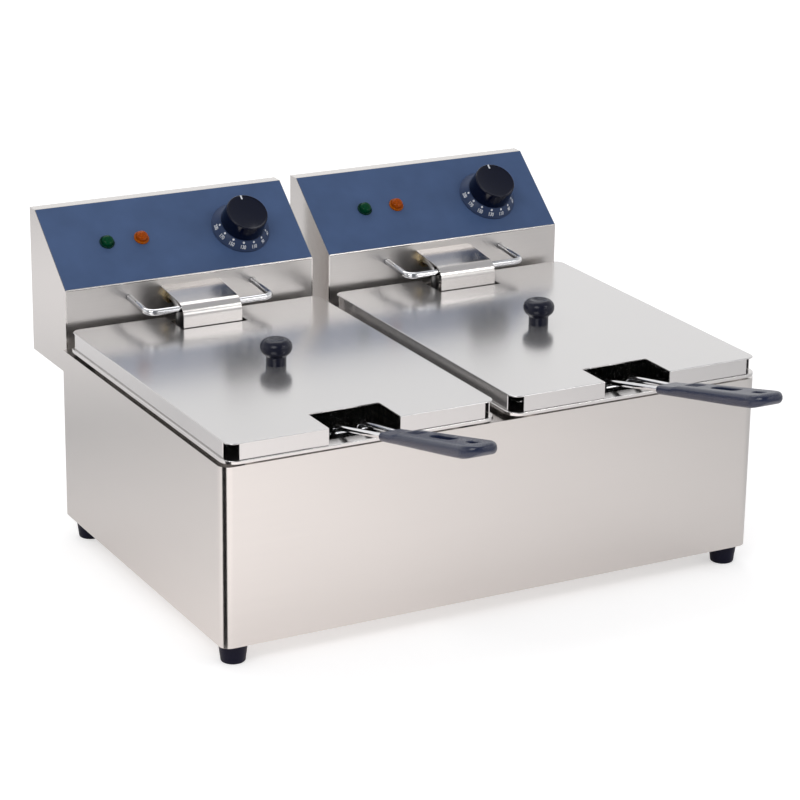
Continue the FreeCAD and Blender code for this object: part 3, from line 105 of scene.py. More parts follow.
def add_mix(tree, share, first, second, blend="MIX"):
    """Two colours mixed by a share; each of the three is an output of a node or a plain value."""
    mix = tree.nodes.new("ShaderNodeMix")
    mix.data_type = "RGBA"
    mix.blend_type = blend
    for number, source in ((MIX_SHARE, share), (MIX_FIRST, first), (MIX_SECOND, second)):
        if isinstance(source, bpy.types.NodeSocket):
            tree.links.new(source, mix.inputs[number])
        else:
            mix.inputs[number].default_value = source
    return mix.outputs[MIX_RESULT]


def vary_colour(tree, shader, source, colour, dark, light):
    """Base colour between a darker and a lighter share of a colour, led by a noise value."""
    low, high = (tuple(min(1.0, share * part) for part in colour) for share in (dark, light))
    tone = add_ramp(tree, source, (NOISE_LOW, low), (NOISE_HIGH, high))
    tree.links.new(tone, shader.inputs["Base Color"])


def vary_roughness(tree, shader, source, smooth, rough):
    """Roughness between two values, led by a noise value."""
    spread = tree.nodes.new("ShaderNodeMapRange")
    spread.inputs["From Min"].default_value = NOISE_LOW
    spread.inputs["From Max"].default_value = NOISE_HIGH
    spread.inputs["To Min"].default_value = smooth
    spread.inputs["To Max"].default_value = rough
    tree.links.new(source, spread.inputs["Value"])
    tree.links.new(spread.outputs["Result"], shader.inputs["Roughness"])


def add_bump(tree, shader, source, strength, distance):
    bump = tree.nodes.new("ShaderNodeBump")
    bump.inputs["Strength"].default_value = strength
    bump.inputs["Distance"].default_value = distance
    tree.links.new(source, bump.inputs["Height"])
    tree.links.new(bump.outputs["Normal"], shader.inputs["Normal"])


# Finishes
LEVEL_GRAIN = (6.0, 6.0, 2600.0)
LENGTH_GRAIN = (2600.0, 6.0, 6.0)
DRAWN_GRAIN = (200.0, 200.0, 900.0)
EVEN_GRAIN = even(300.0)
STREAK_ROUGHNESS = 0.6
STEEL_SPREAD = 0.02
SWELL_SCALE = 7.0
SHEET_WAVE = 0.4 * MM
WIRE_SCALE = 180.0
WIRE_SMOOTH = 0.7
WIRE_ROUGH = 1.5
CLOUD_SCALE = 30.0
CLOUD_DARK = 0.93
CLOUD_LIGHT = 1.07
SKIN_SMOOTHER = 0.05
SKIN_ROUGHER = 0.06
SKIN_DEPTH = 0.1 * MM
LENS_SCALE = 700.0
LENS_ROUGHNESS = 0.12
LENS_GLOSS = 0.12
LENS_DARK = 0.6
LENS_LIGHT = 1.3
PRINT_SCALE = 900.0
PRINT_ROUGHNESS = 0.55
PRINT_DARK = 0.9


def brushed_steel(name, colour, roughness, grain, shade=0.02, wave=0.0, haze=0.0):
    """Steel with fine parallel brushing; grain is the noise scale along each axis. Large sheets also
    wave a little, which softens what they mirror, and haze is the share that scatters evenly."""
    material, tree, shader = new_material(name, colour, metallic=1.0 - haze, roughness=roughness)
    streaks = add_noise(tree, grain, roughness=STREAK_ROUGHNESS)
    vary_colour(tree, shader, streaks, colour, 1 - shade, 1 + shade)
    vary_roughness(tree, shader, streaks, roughness - STEEL_SPREAD, roughness + STEEL_SPREAD)
    if wave:
        swell = add_noise(tree, even(SWELL_SCALE), detail=1.0)
        add_bump(tree, shader, swell, 1.0, wave)
    return material


def polished_wire(name, colour, roughness):
    """Bright drawn wire with slight unevenness."""
    material, tree, shader = new_material(name, colour, metallic=1.0, roughness=roughness)
    value = add_noise(tree, even(WIRE_SCALE))
    vary_roughness(tree, shader, value, roughness * WIRE_SMOOTH, roughness * WIRE_ROUGH)
    return material


def moulded_plastic(name, colour, roughness, pebble=1500.0, bump=0.03, gloss=0.3):
    """Moulded plastic with a fine pebbled skin and faint cloudy tone."""
    material, tree, shader = new_material(name, colour, roughness=roughness)
    shader.inputs["Specular IOR Level"].default_value = gloss
    clouds = add_noise(tree, even(CLOUD_SCALE), detail=2.0)
    vary_colour(tree, shader, clouds, colour, CLOUD_DARK, CLOUD_LIGHT)
    pebbles = add_noise(tree, even(pebble), detail=1.0)
    vary_roughness(tree, shader, pebbles, roughness - SKIN_SMOOTHER, roughness + SKIN_ROUGHER)
    add_bump(tree, shader, pebbles, bump, SKIN_DEPTH)
    return material


def lamp_lens(name, colour, glow):
    """Coloured clear lens of a pilot lamp."""
    material, tree, shader = new_material(name, colour, roughness=LENS_ROUGHNESS)
    shader.inputs["Specular IOR Level"].default_value = LENS_GLOSS
    shader.inputs["Emission Color"].default_value = (*colour, 1.0)
    shader.inputs["Emission Strength"].default_value = glow
    vary_colour(tree, shader, add_noise(tree, even(LENS_SCALE)), colour, LENS_DARK, LENS_LIGHT)
    return material


def plain_print(name, colour):
    """Screen-printed ink, a little uneven."""
    material, tree, shader = new_material(name, colour, roughness=PRINT_ROUGHNESS)
    vary_colour(tree, shader, add_noise(tree, even(PRINT_SCALE)), colour, PRINT_DARK, 1.0)
    return material


CASE_COLOUR = (0.70, 0.672, 0.652)
LID_COLOUR = (0.70, 0.685, 0.68)

look = {
    "case_steel": brushed_steel("case_steel", CASE_COLOUR, 0.2, LEVEL_GRAIN, wave=SHEET_WAVE),
    "panel_steel": brushed_steel("panel_steel", CASE_COLOUR, 0.33, LEVEL_GRAIN),
    "lid_steel": brushed_steel("lid_steel", LID_COLOUR, 0.19, LENGTH_GRAIN, wave=SHEET_WAVE, haze=0.15),
    "tank_steel": brushed_steel("tank_steel", (0.72, 0.70, 0.69), 0.2, LEVEL_GRAIN),
    "element_steel": brushed_steel("element_steel", (0.42, 0.41, 0.4), 0.35, EVEN_GRAIN, shade=0.06),
    "probe_steel": brushed_steel("probe_steel", (0.6, 0.58, 0.55), 0.28, EVEN_GRAIN, shade=0.05),
    "screw_steel": brushed_steel("screw_steel", (0.6, 0.6, 0.6), 0.3, EVEN_GRAIN, shade=0.05),
    "nut_brass": brushed_steel("nut_brass", (0.72, 0.57, 0.33), 0.28, EVEN_GRAIN, shade=0.05),
    "cutout_metal": brushed_steel("cutout_metal", (0.75, 0.75, 0.76), 0.35, DRAWN_GRAIN, shade=0.05),
    "wire_chrome": polished_wire("wire_chrome", (0.78, 0.78, 0.79), 0.1),
    "black_plastic": moulded_plastic("black_plastic", (0.008, 0.009, 0.022), 0.24, bump=0.01),
    "grip_plastic": moulded_plastic("grip_plastic", (0.013, 0.019, 0.05), 0.26, gloss=0.6),
    "dial_plastic": moulded_plastic("dial_plastic", (0.03, 0.05, 0.112), 0.35, gloss=0.2),
    "knob_plastic": moulded_plastic("knob_plastic", (0.001, 0.0025, 0.014), 0.16, bump=0.01, gloss=0.27),
    "switch_plastic": moulded_plastic("switch_plastic", (0.05, 0.045, 0.04), 0.5),
    "foot_rubber": moulded_plastic("foot_rubber", (0.006, 0.006, 0.018), 0.42, pebble=800.0, gloss=0.12),
    "overlay_film": moulded_plastic("overlay_film", (0.064, 0.108, 0.222), 0.36, pebble=2500.0, bump=0.01,
                                    gloss=0.18),
    "green_lens": lamp_lens("green_lens", (0.0004, 0.045, 0.016), 0.08),
    "green_rim": lamp_lens("green_rim", (0.0006, 0.03, 0.018), 0.0),
    "amber_lens": lamp_lens("amber_lens", (0.3, 0.052, 0.0015), 0.1),
    "amber_rim": lamp_lens("amber_rim", (0.34, 0.075, 0.0015), 0.1),
    "white_print": plain_print("white_print", (0.78, 0.8, 0.84)),
}


def paint(piece, finish):
    """Give a piece a finish."""
    piece.data.materials.clear()
    piece.data.materials.append(look[finish])


for part in frame["record"]["subparts"]:
    target = nodes[part["node"]]
    target.data.materials.clear()
    target.data.materials.append(look[part["material_slot"]])

for side in SIDES:
    paint(nodes[side + "_front_panel"], "panel_steel")


# Making pieces
LATHE_CREASE = 35.0


def link(name, data):
    piece = bpy.data.objects.new(name, data)
    bpy.context.scene.collection.objects.link(piece)
    return piece


def new_mesh(name, points, faces):
    mesh = bpy.data.meshes.new(name)
    mesh.from_pydata(points, [], faces)
    return mesh


def shade_smooth(mesh, crease):
    """Smooth shading that leaves edges sharper than an angle crisp."""
    mesh.polygons.foreach_set("use_smooth", [True] * len(mesh.polygons))
    mesh.set_sharp_from_angle(angle=math.radians(crease))


def scaled(profile, across, up):
    """A profile's points with the radii and the heights multiplied."""
    return [(r * across, z * up) for r, z in profile]


def lathe(name, profile, place, segments=64):
    """A turned piece: a profile of (radius, height) points about the Z axis of a placement."""
    points = []
    faces = []
    rows = len(profile)
    for step in range(segments):
        turn = 2 * math.pi * step / segments
        points += [(r * math.cos(turn), r * math.sin(turn), z) for r, z in profile]
    for step in range(segments):
        here = step * rows
        there = (step + 1) % segments * rows
        for row in range(rows - 1):
            faces.append((here + row, there + row, there + row + 1, here + row + 1))
    mesh = new_mesh(name, points, faces)
    mesh.validate()
    shade_smooth(mesh, LATHE_CREASE)
    piece = link(name, mesh)
    piece.matrix_world = place
    return piece


def skin(name, rings):
    """A closed mesh through rings of equally many points, with flat ends."""
    count = len(rings[0])
    points = [point for ring in rings for point in ring]
    faces = [tuple(reversed(range(count)))]
    for row in range(len(rings) - 1):
        for step in range(count):
            after = (step + 1) % count
            faces.append((row * count + step, row * count + after,
                          (row + 1) * count + after, (row + 1) * count + step))
    faces.append(tuple(range((len(rings) - 1) * count, len(rings) * count)))
    return new_mesh(name, points, faces)


def round_rectangle(half_x, half_y, radius, steps=5):
    """Points round a rectangle with round corners, anticlockwise."""
    radius = min(radius, half_x, half_y)
    points = []
    for corner, (sx, sy) in enumerate(((1, 1), (-1, 1), (-1, -1), (1, -1))):
        for step in range(steps + 1):
            turn = math.pi / 2 * (corner + step / steps)
            points.append((sx * (half_x - radius) + radius * math.cos(turn),
                           sy * (half_y - radius) + radius * math.sin(turn)))
    return points


def new_wires(name, radius, resolution):
    """A curve that holds round wires of one thickness."""
    curve = bpy.data.curves.new(name, "CURVE")
    curve.dimensions = "3D"
    curve.bevel_depth = radius
    curve.bevel_resolution = resolution
    curve.use_fill_caps = True
    return curve


def add_wire(curve, points):
    spline = curve.splines.new("POLY")
    spline.points.add(len(points) - 1)
    for target, point in zip(spline.points, points):
        target.co = (*point, 1.0)
    return spline


# Lamps and dials. Their profiles are (radius, height) in millimetres above the sloped panel's sheet or,
# for the lamps, above the overlay.
OVERLAY = 0.6 * MM
LAMP_UP = 3.0 * MM
POWER_LAMP = -140.5 * MM
HEATING_LAMP = -104.5 * MM
LAMP_RIM = ((7.5, 0.0), (7.5, 1.0), (6.7, 2.0), (5.9, 2.0), (5.6, 1.0))
LAMP_LENS = ((5.6, 0.0), (5.6, 4.32), (5.1, 5.04), (4.2, 5.58), (2.24, 5.91), (0.0, 6.0))
RING_CONE = ((29.2, 2.0), (23.0, 9.2))
RING_PROFILE = ((29.5, 0.6), (29.5, 1.6), *RING_CONE, (22.6, 9.4), (5.0, 9.4))
KNOB_PROFILE = ((5.0, 9.8), (21.8, 9.8), (22.2, 10.3), (20.9, 26.1), (20.7, 26.7), (20.3, 27.1),
                (19.9, 27.18), (19.6, 27.05), (18.5, 26.7), (0.0, 26.7))
DIAL_SEGMENTS = 96


def dial_frame(side):
    """Placement on a head's sloped panel at its dial: X across, Y up the slope, Z outwards."""
    joint = joints[side + "_dial_turn"]
    outward = -Vector(joint["axis"]).normalized()
    across = Vector((1, 0, 0))
    up = outward.cross(across)
    turn = Matrix((across, up, outward)).transposed().to_4x4()
    return Matrix.Translation(joint["pos_m"]) @ turn


def make_lamp(side, node, across, colour):
    """Pilot lamp moulded in one colour: a sloped rim round a raised, nearly flat lens."""
    place = dial_frame(side) @ Matrix.Translation((across, LAMP_UP, OVERLAY))
    rim = lathe(side + node + "_rim", scaled(LAMP_RIM, MM, MM), place)
    paint(rim, colour + "_rim")
    lens = lathe(side + node + "_lens", scaled(LAMP_LENS, MM, MM), place)
    paint(lens, colour + "_lens")
    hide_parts(side + node)
    for piece in (rim, lens):
        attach(piece, side + "_control_head")


def make_dial(side):
    """Cone-shaped dial ring and the tapered knob that turns above it, with a thin rim round its face."""
    place = dial_frame(side)
    ring = lathe(side + "_scale_ring", scaled(RING_PROFILE, MM, MM), place, DIAL_SEGMENTS)
    paint(ring, "dial_plastic")
    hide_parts(side + "_dial_ring")
    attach(ring, side + "_control_head")
    knob = lathe(side + "_dial_knob", scaled(KNOB_PROFILE, MM, MM), place, DIAL_SEGMENTS)
    paint(knob, "knob_plastic")
    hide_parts(side + "_thermostat_knob")
    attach(knob, side + "_dial")


DIAL_NUMBERS = ("60", "90", "110", "130", "150", "170", "200")
DIAL_START = 119.0
DIAL_END = 273.5
NUMBER_UP = 3.7 * MM
NUMBER_SIZE = 5.3 * MM
NUMBER_WIDTH = 0.74
NUMBER_STROKE = 0.09 * MM
PRINT_LIFT = 0.05 * MM
DOT_UP = 8.3 * MM
DOT_SIZE = 1.1 * MM
DOT_PROFILE = ((DOT_SIZE, -PRINT_LIFT), (DOT_SIZE, PRINT_LIFT), (0.0, PRINT_LIFT))
DOT_SEGMENTS = 16


def on_ring(side, angle, up):
    """Placement on the ring's cone at a clockwise angle from the top and a distance up from its outer edge:
    X runs along the ring, Y towards its middle and Z out of its face."""
    (foot_radius, foot), (crown_radius, crown) = scaled(RING_CONE, MM, MM)
    slope = math.atan2(crown - foot, foot_radius - crown_radius)
    radius = foot_radius - up * math.cos(slope)
    height = foot + up * math.sin(slope)
    return (dial_frame(side) @ Matrix.Rotation(math.radians(-angle), 4, "Z")
            @ Matrix.Translation((0, radius, height)) @ Matrix.Rotation(-slope, 4, "X")
            @ Matrix.Rotation(math.pi, 4, "Z") @ Matrix.Translation((0, 0, PRINT_LIFT)))


def make_dial_scale(side):
    """Plain temperature numbers and dots printed on the dial ring, clockwise from the low end."""
    for step, number in enumerate(DIAL_NUMBERS):
        angle = DIAL_START + (DIAL_END - DIAL_START) * step / (len(DIAL_NUMBERS) - 1)
        text = bpy.data.curves.new("%s_dial_number_%s" % (side, number), "FONT")
        text.body = number
        text.size = NUMBER_SIZE
        text.align_x = "CENTER"
        text.align_y = "CENTER"
        text.extrude = PRINT_LIFT
        text.offset = NUMBER_STROKE
        piece = link(text.name, text)
        piece.matrix_world = on_ring(side, angle, NUMBER_UP) @ Matrix.Diagonal((NUMBER_WIDTH, 1, 1, 1))
        paint(piece, "white_print")
        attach(piece, side + "_control_head")
        place = on_ring(side, angle, DOT_UP)
        dot = lathe("%s_dial_dot_%s" % (side, number), DOT_PROFILE, place, DOT_SEGMENTS)
        paint(dot, "white_print")
        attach(dot, side + "_control_head")


INDEX_HALF = 0.75 * MM
INDEX_START = 15.6 * MM
INDEX_END = 20.2 * MM
INDEX_FLOOR = 26.0 * MM
INDEX_TOP = 27.2 * MM


def make_dial_index(side):
    """White index line across the rim of the knob's face."""
    corners = [(-INDEX_HALF, INDEX_START), (INDEX_HALF, INDEX_START),
               (INDEX_HALF, INDEX_END), (-INDEX_HALF, INDEX_END)]
    points = [(x, y, z) for z in (INDEX_FLOOR, INDEX_TOP) for x, y in corners]
    faces = [(4, 5, 6, 7), (0, 1, 5, 4), (1, 2, 6, 5), (2, 3, 7, 6), (3, 0, 4, 7)]
    piece = link(side + "_dial_index", new_mesh(side + "_dial_index", points, faces))
    piece.matrix_world = dial_frame(side)
    paint(piece, "white_print")
    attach(piece, side + "_dial")


# Lid knobs; the profile is in shares of the knob's radius and height
LID_KNOB_PROFILE = (
    (0.62, 0.0), (0.63, 0.03), (0.63, 0.28), (0.645, 0.33), (0.70, 0.375), (0.80, 0.425), (0.90, 0.49),
    (0.965, 0.56), (1.0, 0.66), (0.99, 0.76), (0.94, 0.85), (0.85, 0.92), (0.74, 0.97), (0.64, 0.993),
    (0.56, 1.0), (0.46, 0.99), (0.32, 0.965), (0.16, 0.948), (0.0, 0.943))


def make_lid_knob(side):
    """Round lid knob with a dished top, as large as the solid one."""
    low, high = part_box(side + "_lid_knob")
    profile = scaled(LID_KNOB_PROFILE, (high.x - low.x) / 2, high.z - low.z)
    place = Matrix.Translation(((low.x + high.x) / 2, (low.y + high.y) / 2, low.z))
    knob = lathe(side + "_ball_knob", profile, place)
    paint(knob, "black_plastic")
    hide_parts(side + "_lid_knob")
    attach(knob, side + "_lid_set")


# Folds of the front panels
FOLD_RADIUS = 1.3 * MM
FOLD_RESOLUTION = 3
FOLD_DEPTH = 0.9 * MM
FOLD_LEVEL = 244.3 * MM
FOLD_INSET = 0.2 * MM


def make_fold(side):
    """Rounded fold between the upright and the sloped part of a head's front panel."""
    low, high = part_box(side + "_front_panel")
    curve = new_wires(side + "_panel_fold", FOLD_RADIUS, FOLD_RESOLUTION)
    ends = (low.x + FOLD_INSET, high.x - FOLD_INSET)
    add_wire(curve, [(x, low.y + FOLD_DEPTH, FOLD_LEVEL) for x in ends])
    fold = link(side + "_panel_fold", curve)
    paint(fold, "case_steel")
    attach(fold, side + "_control_head")


# Grips, along -Y from their inner end
GRIP_SLOPE = 13.5
GRIP_START = 50 * MM
GRIP_LEVEL = 212.8 * MM
GRIP_LENGTH = 165 * MM
GRIP_INNER = 12.5 * MM
GRIP_OUTER = 17 * MM
GRIP_LEAST = 1.5 * MM
GRIP_TOP = 5.4 * MM
GRIP_EDGE = 4.6 * MM
GRIP_CREASE = 38.0
NECK_TOP = 3.9 * MM
NECK_END = 22 * MM
PAD_START = 36 * MM
INNER_DROP = 4.5 * MM
OUTER_DROP = 7 * MM
CURL_LENGTH = 26 * MM
CURL_LOSS = 0.5
NOSE_LENGTH = 17 * MM
NOSE_POWER = 2.4
NOSE_STEPS = 16
TIP_LENGTH = 9 * MM
TIP_POWER = 2.2
TIP_LOSS = 0.55
HEEL_LENGTH = 2.5 * MM
HEEL_STEPS = 4
HEEL_LOSS = 0.3
HEEL_TAPER = 0.12
GRIP_STATIONS = (8, 14, 22, 25, 29, 33, 36, 60, 90, 120)
SLOT_AT = 95.7 * MM
SLOT_HALF = (5.2 * MM, 20 * MM)
HOLE_AT = 145 * MM
HOLE_HALF = (3.4 * MM, 8.2 * MM)
HOLE_LEAD = 0.8 * MM
CUT_DEPTH = 21 * MM
GRIP_RIBS = (40, 44, 48, 52, 56)
RIB_HALF = (5.5 * MM, 0.6 * MM)
RIB_RISE = 0.4 * MM
RIB_SHOULDER = 0.16 * MM
RIB_BEVEL = 0.3 * MM


def smooth_step(value, low, high):
    share = min(1.0, max(0.0, (value - low) / (high - low)))
    return share * share * (3 - 2 * share)


def past(along, length):
    """Share of the grip's outer end, of some length, that lies behind a station."""
    return max(0.0, (along - GRIP_LENGTH + length) / length)


def grip_ring(along):
    """Cross-section of the grip at a distance from its inner end."""
    share = along / GRIP_LENGTH
    heel = max(0.0, (HEEL_LENGTH - along) / HEEL_LENGTH)
    width = GRIP_INNER + (GRIP_OUTER - GRIP_INNER) * share
    width *= max(0.0, 1 - past(along, NOSE_LENGTH) ** NOSE_POWER) ** (1 / NOSE_POWER)
    width = max(width, GRIP_LEAST) * (1 - HEEL_TAPER * heel ** 2)
    top = NECK_TOP + (GRIP_TOP - NECK_TOP) * smooth_step(along, NECK_END, PAD_START)
    drop = INNER_DROP + (OUTER_DROP - INNER_DROP) * share
    bottom = -drop * (1 - CURL_LOSS * past(along, CURL_LENGTH) ** 2)
    height = (top - bottom) / 2
    height *= (1 - TIP_LOSS * past(along, TIP_LENGTH) ** TIP_POWER) * (1 - HEEL_LOSS * heel ** 2)
    middle = (top + bottom) / 2
    return [(x, -along, middle + z) for x, z in round_rectangle(width, height, GRIP_EDGE)]


def grip_cutter(name, at, half):
    """Tool for a long hole with rounded ends that widens at the top face."""
    levels = ((-CUT_DEPTH, 0.0), (GRIP_TOP - HOLE_LEAD, 0.0), (GRIP_TOP + HOLE_LEAD, 2 * HOLE_LEAD))
    rings = []
    for height, lead in levels:
        outline = round_rectangle(half[0] + lead, half[1] + lead, half[0] + lead)
        rings.append([(x, y - at, height) for x, y in outline])
    return link(name, skin(name, rings))


def grip_mesh(side):
    """The grip's body with its finger slot and its hanging hole cut out."""
    stations = [HEEL_LENGTH * step / HEEL_STEPS for step in range(HEEL_STEPS + 1)]
    stations += [at * MM for at in GRIP_STATIONS]
    nose_start = GRIP_LENGTH - NOSE_LENGTH
    stations += [nose_start + NOSE_LENGTH * math.sin(math.pi / 2 * step / NOSE_STEPS)
                 for step in range(NOSE_STEPS + 1)]
    block = link(side + "_grip_block", skin(side + "_grip_block", [grip_ring(along) for along in stations]))
    cutters = [grip_cutter(side + "_slot_tool", SLOT_AT, SLOT_HALF),
               grip_cutter(side + "_hole_tool", HOLE_AT, HOLE_HALF)]
    for cutter in cutters:
        cut = block.modifiers.new("cut", "BOOLEAN")
        cut.operation = "DIFFERENCE"
        cut.solver = "EXACT"
        cut.object = cutter
    scene_graph = bpy.context.evaluated_depsgraph_get()
    mesh = bpy.data.meshes.new_from_object(block.evaluated_get(scene_graph))
    mesh.name = side + "_grip"
    shade_smooth(mesh, GRIP_CREASE)
    for helper in cutters + [block]:
        spare = helper.data
        bpy.data.objects.remove(helper)
        bpy.data.meshes.remove(spare)
    return mesh


def rib_mesh(name, at):
    """A low rib across the grip's pad, with bevelled edges."""
    rings = []
    for height, inset in ((-RIB_RISE, 0.0), (RIB_SHOULDER, 0.0), (RIB_RISE, RIB_BEVEL)):
        outline = round_rectangle(RIB_HALF[0] - inset, RIB_HALF[1] - inset, RIB_HALF[1])
        rings.append([(x, y - at, GRIP_TOP + height) for x, y in outline])
    return skin(name, rings)


def make_grip(side):
    """Moulded grip with a thin neck, a ribbed pad, a finger slot and a hanging hole."""
    low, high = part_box(side + "_handle_grip")
    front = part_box("case_shell")[0].y
    place = (Matrix.Translation(((low.x + high.x) / 2, front - GRIP_START, GRIP_LEVEL))
             @ Matrix.Rotation(math.radians(-GRIP_SLOPE), 4, "X"))
    grip = link(side + "_grip", grip_mesh(side))
    grip.matrix_world = place
    paint(grip, "grip_plastic")
    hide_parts(side + "_handle_grip")
    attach(grip, side + "_basket_set")
    for number, at in enumerate(GRIP_RIBS):
        name = "%s_grip_rib_%d" % (side, number)
        rib = link(name, rib_mesh(name, at * MM))
        rib.matrix_world = place
        paint(rib, "grip_plastic")
        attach(rib, side + "_basket_set")


# Basket mesh
MESH_WIRE = 1.3 * MM
MESH_PITCH = 8.2 * MM
MESH_CORNER = 5.0 * MM
MESH_RESOLUTION = 1


def spaced(low, high):
    """Evenly spaced places from one end to the other, about one pitch apart."""
    count = max(2, round((high - low) / MESH_PITCH))
    return [low + (high - low) * step / count for step in range(count + 1)]


def u_path(start, end, foot, top):
    """A U-shaped wire as (along, up) points: down one wall, over the floor and up the other wall."""
    bend = MESH_CORNER * (1 - math.sqrt(0.5))
    half = [(start, top), (start, foot + MESH_CORNER), (start + bend, foot + bend), (start + MESH_CORNER, foot)]
    return half + [(start + end - along, up) for along, up in reversed(half)]


def make_wire_mesh(side):
    """Welded wire mesh of the basket: U-shaped wires both ways and level wires round the walls."""
    low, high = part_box(side + "_basket_mesh")
    radius = MESH_WIRE / 2
    inner = low + Vector((radius, radius, radius))
    outer = high - Vector((radius, radius, radius))
    curve = new_wires(side + "_wire_mesh", radius, MESH_RESOLUTION)
    foot, top = inner.z, outer.z
    lift = foot + MESH_WIRE
    for x in spaced(inner.x + MESH_CORNER, outer.x - MESH_CORNER):
        add_wire(curve, [(x, y, z) for y, z in u_path(inner.y, outer.y, foot, top)])
    for y in spaced(inner.y + MESH_CORNER, outer.y - MESH_CORNER):
        path = u_path(inner.x + MESH_WIRE, outer.x - MESH_WIRE, lift, top)
        add_wire(curve, [(x, y, z) for x, z in path])
    left, right = inner.x, outer.x
    front, back = inner.y + MESH_WIRE, outer.y - MESH_WIRE
    loop = [(left + MESH_CORNER, front), (right - MESH_CORNER, front), (right, front + MESH_CORNER),
            (right, back - MESH_CORNER), (right - MESH_CORNER, back), (left + MESH_CORNER, back),
            (left, back - MESH_CORNER), (left, front + MESH_CORNER)]
    for z in spaced(lift + MESH_CORNER, top):
        add_wire(curve, [(x, y, z) for x, y in loop]).use_cyclic_u = True
    piece = link(side + "_wire_mesh", curve)
    paint(piece, "wire_chrome")
    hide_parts(side + "_basket_mesh")
    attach(piece, side + "_basket_set")


for side in SIDES:
    make_lamp(side, "_power_lamp", POWER_LAMP, "green")
    make_lamp(side, "_heating_lamp", HEATING_LAMP, "amber")
    make_dial(side)
    make_dial_scale(side)
    make_dial_index(side)
    make_fold(side)
    make_lid_knob(side)
    make_grip(side)
    make_wire_mesh(side)


# Studio: white floor, soft surroundings, two large and two small lights, and a dark card
FLOOR_SIZE = 30.0
FLOOR_COLOUR = (0.76, 0.75, 0.745)
# Painted light pools: round patches where the floor glows for light and reflections, though not for the camera
POOL_PLACE = (-0.46, -0.6)
POOL_RADIUS = 1.4
LIGHT_POOL_COLOUR = (0.62, 0.565, 0.54)
SIDE_PLACE = (-0.75, 1.0)
SIDE_RADIUS = 0.75
SIDE_LIGHT_POOL_COLOUR = (0.34, 0.33, 0.33)
FAR_PLACE = (0.0, 0.0)
FAR_RADIUS = 3.5
NEAR_WHITE = (0.48, 0.48, 0.48)
FAR_WHITE = (0.8, 0.8, 0.8)
FADE_START = 0.2
FADE_END = 0.8


def fading_colour(tree, centre, radius, middle, edge):
    """A colour that fades from the middle of a round area of the floor to its edge."""
    place = tree.nodes.new("ShaderNodeTexCoord")
    mapping = tree.nodes.new("ShaderNodeMapping")
    mapping.inputs["Location"].default_value = (-centre[0] / radius, -centre[1] / radius, 0.0)
    mapping.inputs["Scale"].default_value = (1 / radius, 1 / radius, 1.0)
    area = tree.nodes.new("ShaderNodeTexGradient")
    area.gradient_type = "SPHERICAL"
    tree.links.new(place.outputs["Object"], mapping.inputs["Vector"])
    tree.links.new(mapping.outputs["Vector"], area.inputs["Vector"])
    return add_ramp(tree, area.outputs["Fac"], (FADE_START, edge), (FADE_END, middle))


def for_camera(tree, seen, unseen):
    """One colour where the camera looks, and another for light and reflections."""
    path = tree.nodes.new("ShaderNodeLightPath")
    return add_mix(tree, path.outputs["Is Camera Ray"], unseen, seen)


def make_floor():
    """Pale floor that reads as white and keeps a faint shadow. For light and reflections it glows in painted light
    pools before and beside the part, so in reflections it has brighter pools there."""
    half = FLOOR_SIZE / 2
    corners = [(-half, -half, 0), (half, -half, 0), (half, half, 0), (-half, half, 0)]
    mesh = new_mesh("floor", corners, [(0, 1, 2, 3)])
    floor = link("floor", mesh)
    material = bpy.data.materials.new("floor_paint")
    material.use_nodes = True
    tree = material.node_tree
    tree.nodes.clear()
    matt = tree.nodes.new("ShaderNodeBsdfDiffuse")
    matt.inputs["Color"].default_value = (*FLOOR_COLOUR, 1.0)
    glow = tree.nodes.new("ShaderNodeEmission")
    both = tree.nodes.new("ShaderNodeAddShader")
    output = tree.nodes.new("ShaderNodeOutputMaterial")
    # Painted light pools, glowing only for light and reflections
    pool = fading_colour(tree, POOL_PLACE, POOL_RADIUS, LIGHT_POOL_COLOUR, BLACK)
    side_pool = fading_colour(tree, SIDE_PLACE, SIDE_RADIUS, SIDE_LIGHT_POOL_COLOUR, BLACK)
    pools = add_mix(tree, 1.0, pool, side_pool, "ADD")
    white = fading_colour(tree, FAR_PLACE, FAR_RADIUS, NEAR_WHITE, FAR_WHITE)
    tree.links.new(for_camera(tree, white, pools), glow.inputs["Color"])
    tree.links.new(matt.outputs["BSDF"], both.inputs[0])
    tree.links.new(glow.outputs["Emission"], both.inputs[1])
    tree.links.new(both.outputs["Shader"], output.inputs["Surface"])
    mesh.materials.append(material)


CARD_PLACE = (-0.3034, -0.141)
CARD_FACING = (0.87, 0.49)
CARD_WIDTH = 0.035
CARD_HEIGHT = 0.2
CARD_COLOUR = (0.01, 0.01, 0.012)
CARD_ROUGHNESS = 0.9


def make_card():
    """Black card that the case's rounded front corner mirrors as a dark line."""
    along = Vector((-CARD_FACING[1], CARD_FACING[0], 0.0)) * CARD_WIDTH / 2
    middle = Vector((*CARD_PLACE, 0.0))
    top = Vector((0.0, 0.0, CARD_HEIGHT))
    corners = [middle - along, middle + along, middle + along + top, middle - along + top]
    mesh = new_mesh("dark_card", [tuple(corner) for corner in corners], [(0, 1, 2, 3)])
    card = link("dark_card", mesh)
    material, _, shader = new_material("card_black", CARD_COLOUR, roughness=CARD_ROUGHNESS)
    shader.inputs["Specular IOR Level"].default_value = 0.0
    mesh.materials.append(material)
    card.visible_camera = False
    card.visible_diffuse = False
    card.visible_shadow = False


SKY_LOW = (0.28, WHITE)
SKY_HIGH = (0.8, (0.5, 0.51, 0.53))
DARK_SIDE = (-0.45, -0.83, 0.33)
DARK_START = (0.45, WHITE)
DARK_END = (0.85, (0.16, 0.17, 0.19))


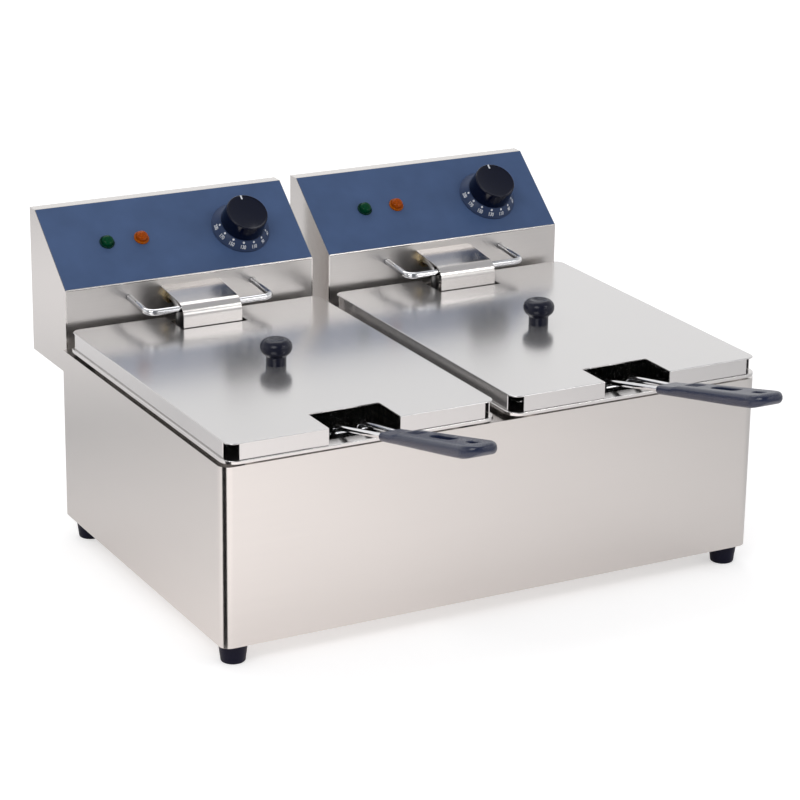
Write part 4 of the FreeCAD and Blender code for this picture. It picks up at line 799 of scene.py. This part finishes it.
def make_world():
    """White for the camera; a pale dome for light and reflections, darker where a photographer would stand."""
    world = bpy.data.worlds.new("studio")
    bpy.context.scene.world = world
    world.use_nodes = True
    tree = world.node_tree
    background = tree.nodes["Background"]
    place = tree.nodes.new("ShaderNodeTexCoord")
    split = tree.nodes.new("ShaderNodeSeparateXYZ")
    toward = tree.nodes.new("ShaderNodeVectorMath")
    toward.operation = "DOT_PRODUCT"
    toward.inputs[1].default_value = DARK_SIDE
    tree.links.new(place.outputs["Generated"], split.inputs["Vector"])
    tree.links.new(place.outputs["Generated"], toward.inputs[0])
    sky = add_ramp(tree, split.outputs["Z"], SKY_LOW, SKY_HIGH)
    dim = add_ramp(tree, toward.outputs["Value"], DARK_START, DARK_END)
    dome = add_mix(tree, 1.0, sky, dim, "MULTIPLY")
    tree.links.new(for_camera(tree, (*WHITE, 1.0), dome), background.inputs["Color"])
    background.inputs["Strength"].default_value = 1.0


PART_MIDDLE = (0.0, 0.0, 0.15)
HEADS_FOOT = (0.0, 0.1, 0.2)
# Name, place, target, width, height and power in watts
LIGHTS = (
    ("front_left_light", (-1.8, -1.6, 2.2), PART_MIDDLE, 1.6, 1.6, 30.0),
    ("front_right_light", (0.95, -2.2, 1.0), HEADS_FOOT, 0.9, 0.7, 2.4),
    ("edge_light", (1.2, -1.55, 1.75), HEADS_FOOT, 0.5, 0.5, 4.0),
    ("top_light", (0.2, 1.4, 2.4), PART_MIDDLE, 2.0, 1.4, 15.0),
)


def add_area(name, place, target, width, height, power):
    light = bpy.data.lights.new(name, "AREA")
    light.shape = "RECTANGLE"
    light.size = width
    light.size_y = height
    light.energy = power
    piece = link(name, light)
    piece.location = place
    piece.rotation_euler = (Vector(target) - Vector(place)).to_track_quat("-Z", "Y").to_euler()


# Camera, fitted to the straight edges of the case, lids and heads
CAMERA_PLACE = (-1.219457, -2.178617, 1.035530)
CAMERA_RIGHT = Vector((0.88083265, -0.47324464, 0.01316677))
CAMERA_DOWN = Vector((-0.14453568, -0.29529457, -0.94441016))
CAMERA_FORWARD = Vector((0.45082512, 0.82996423, -0.32850583))
SENSOR = 36.0
FOCAL_LENGTH = 127.88


def make_camera():
    data = bpy.data.cameras.new("camera")
    data.sensor_fit = "HORIZONTAL"
    data.sensor_width = SENSOR
    data.lens = FOCAL_LENGTH
    camera = link("camera", data)
    turn = Matrix((CAMERA_RIGHT, -CAMERA_DOWN, -CAMERA_FORWARD)).transposed().to_4x4()
    camera.matrix_world = Matrix.Translation(CAMERA_PLACE) @ turn
    bpy.context.scene.camera = camera


make_floor()
make_card()
make_world()
for light in LIGHTS:
    add_area(*light)
make_camera()
bpy.context.scene.view_settings.view_transform = "Standard"
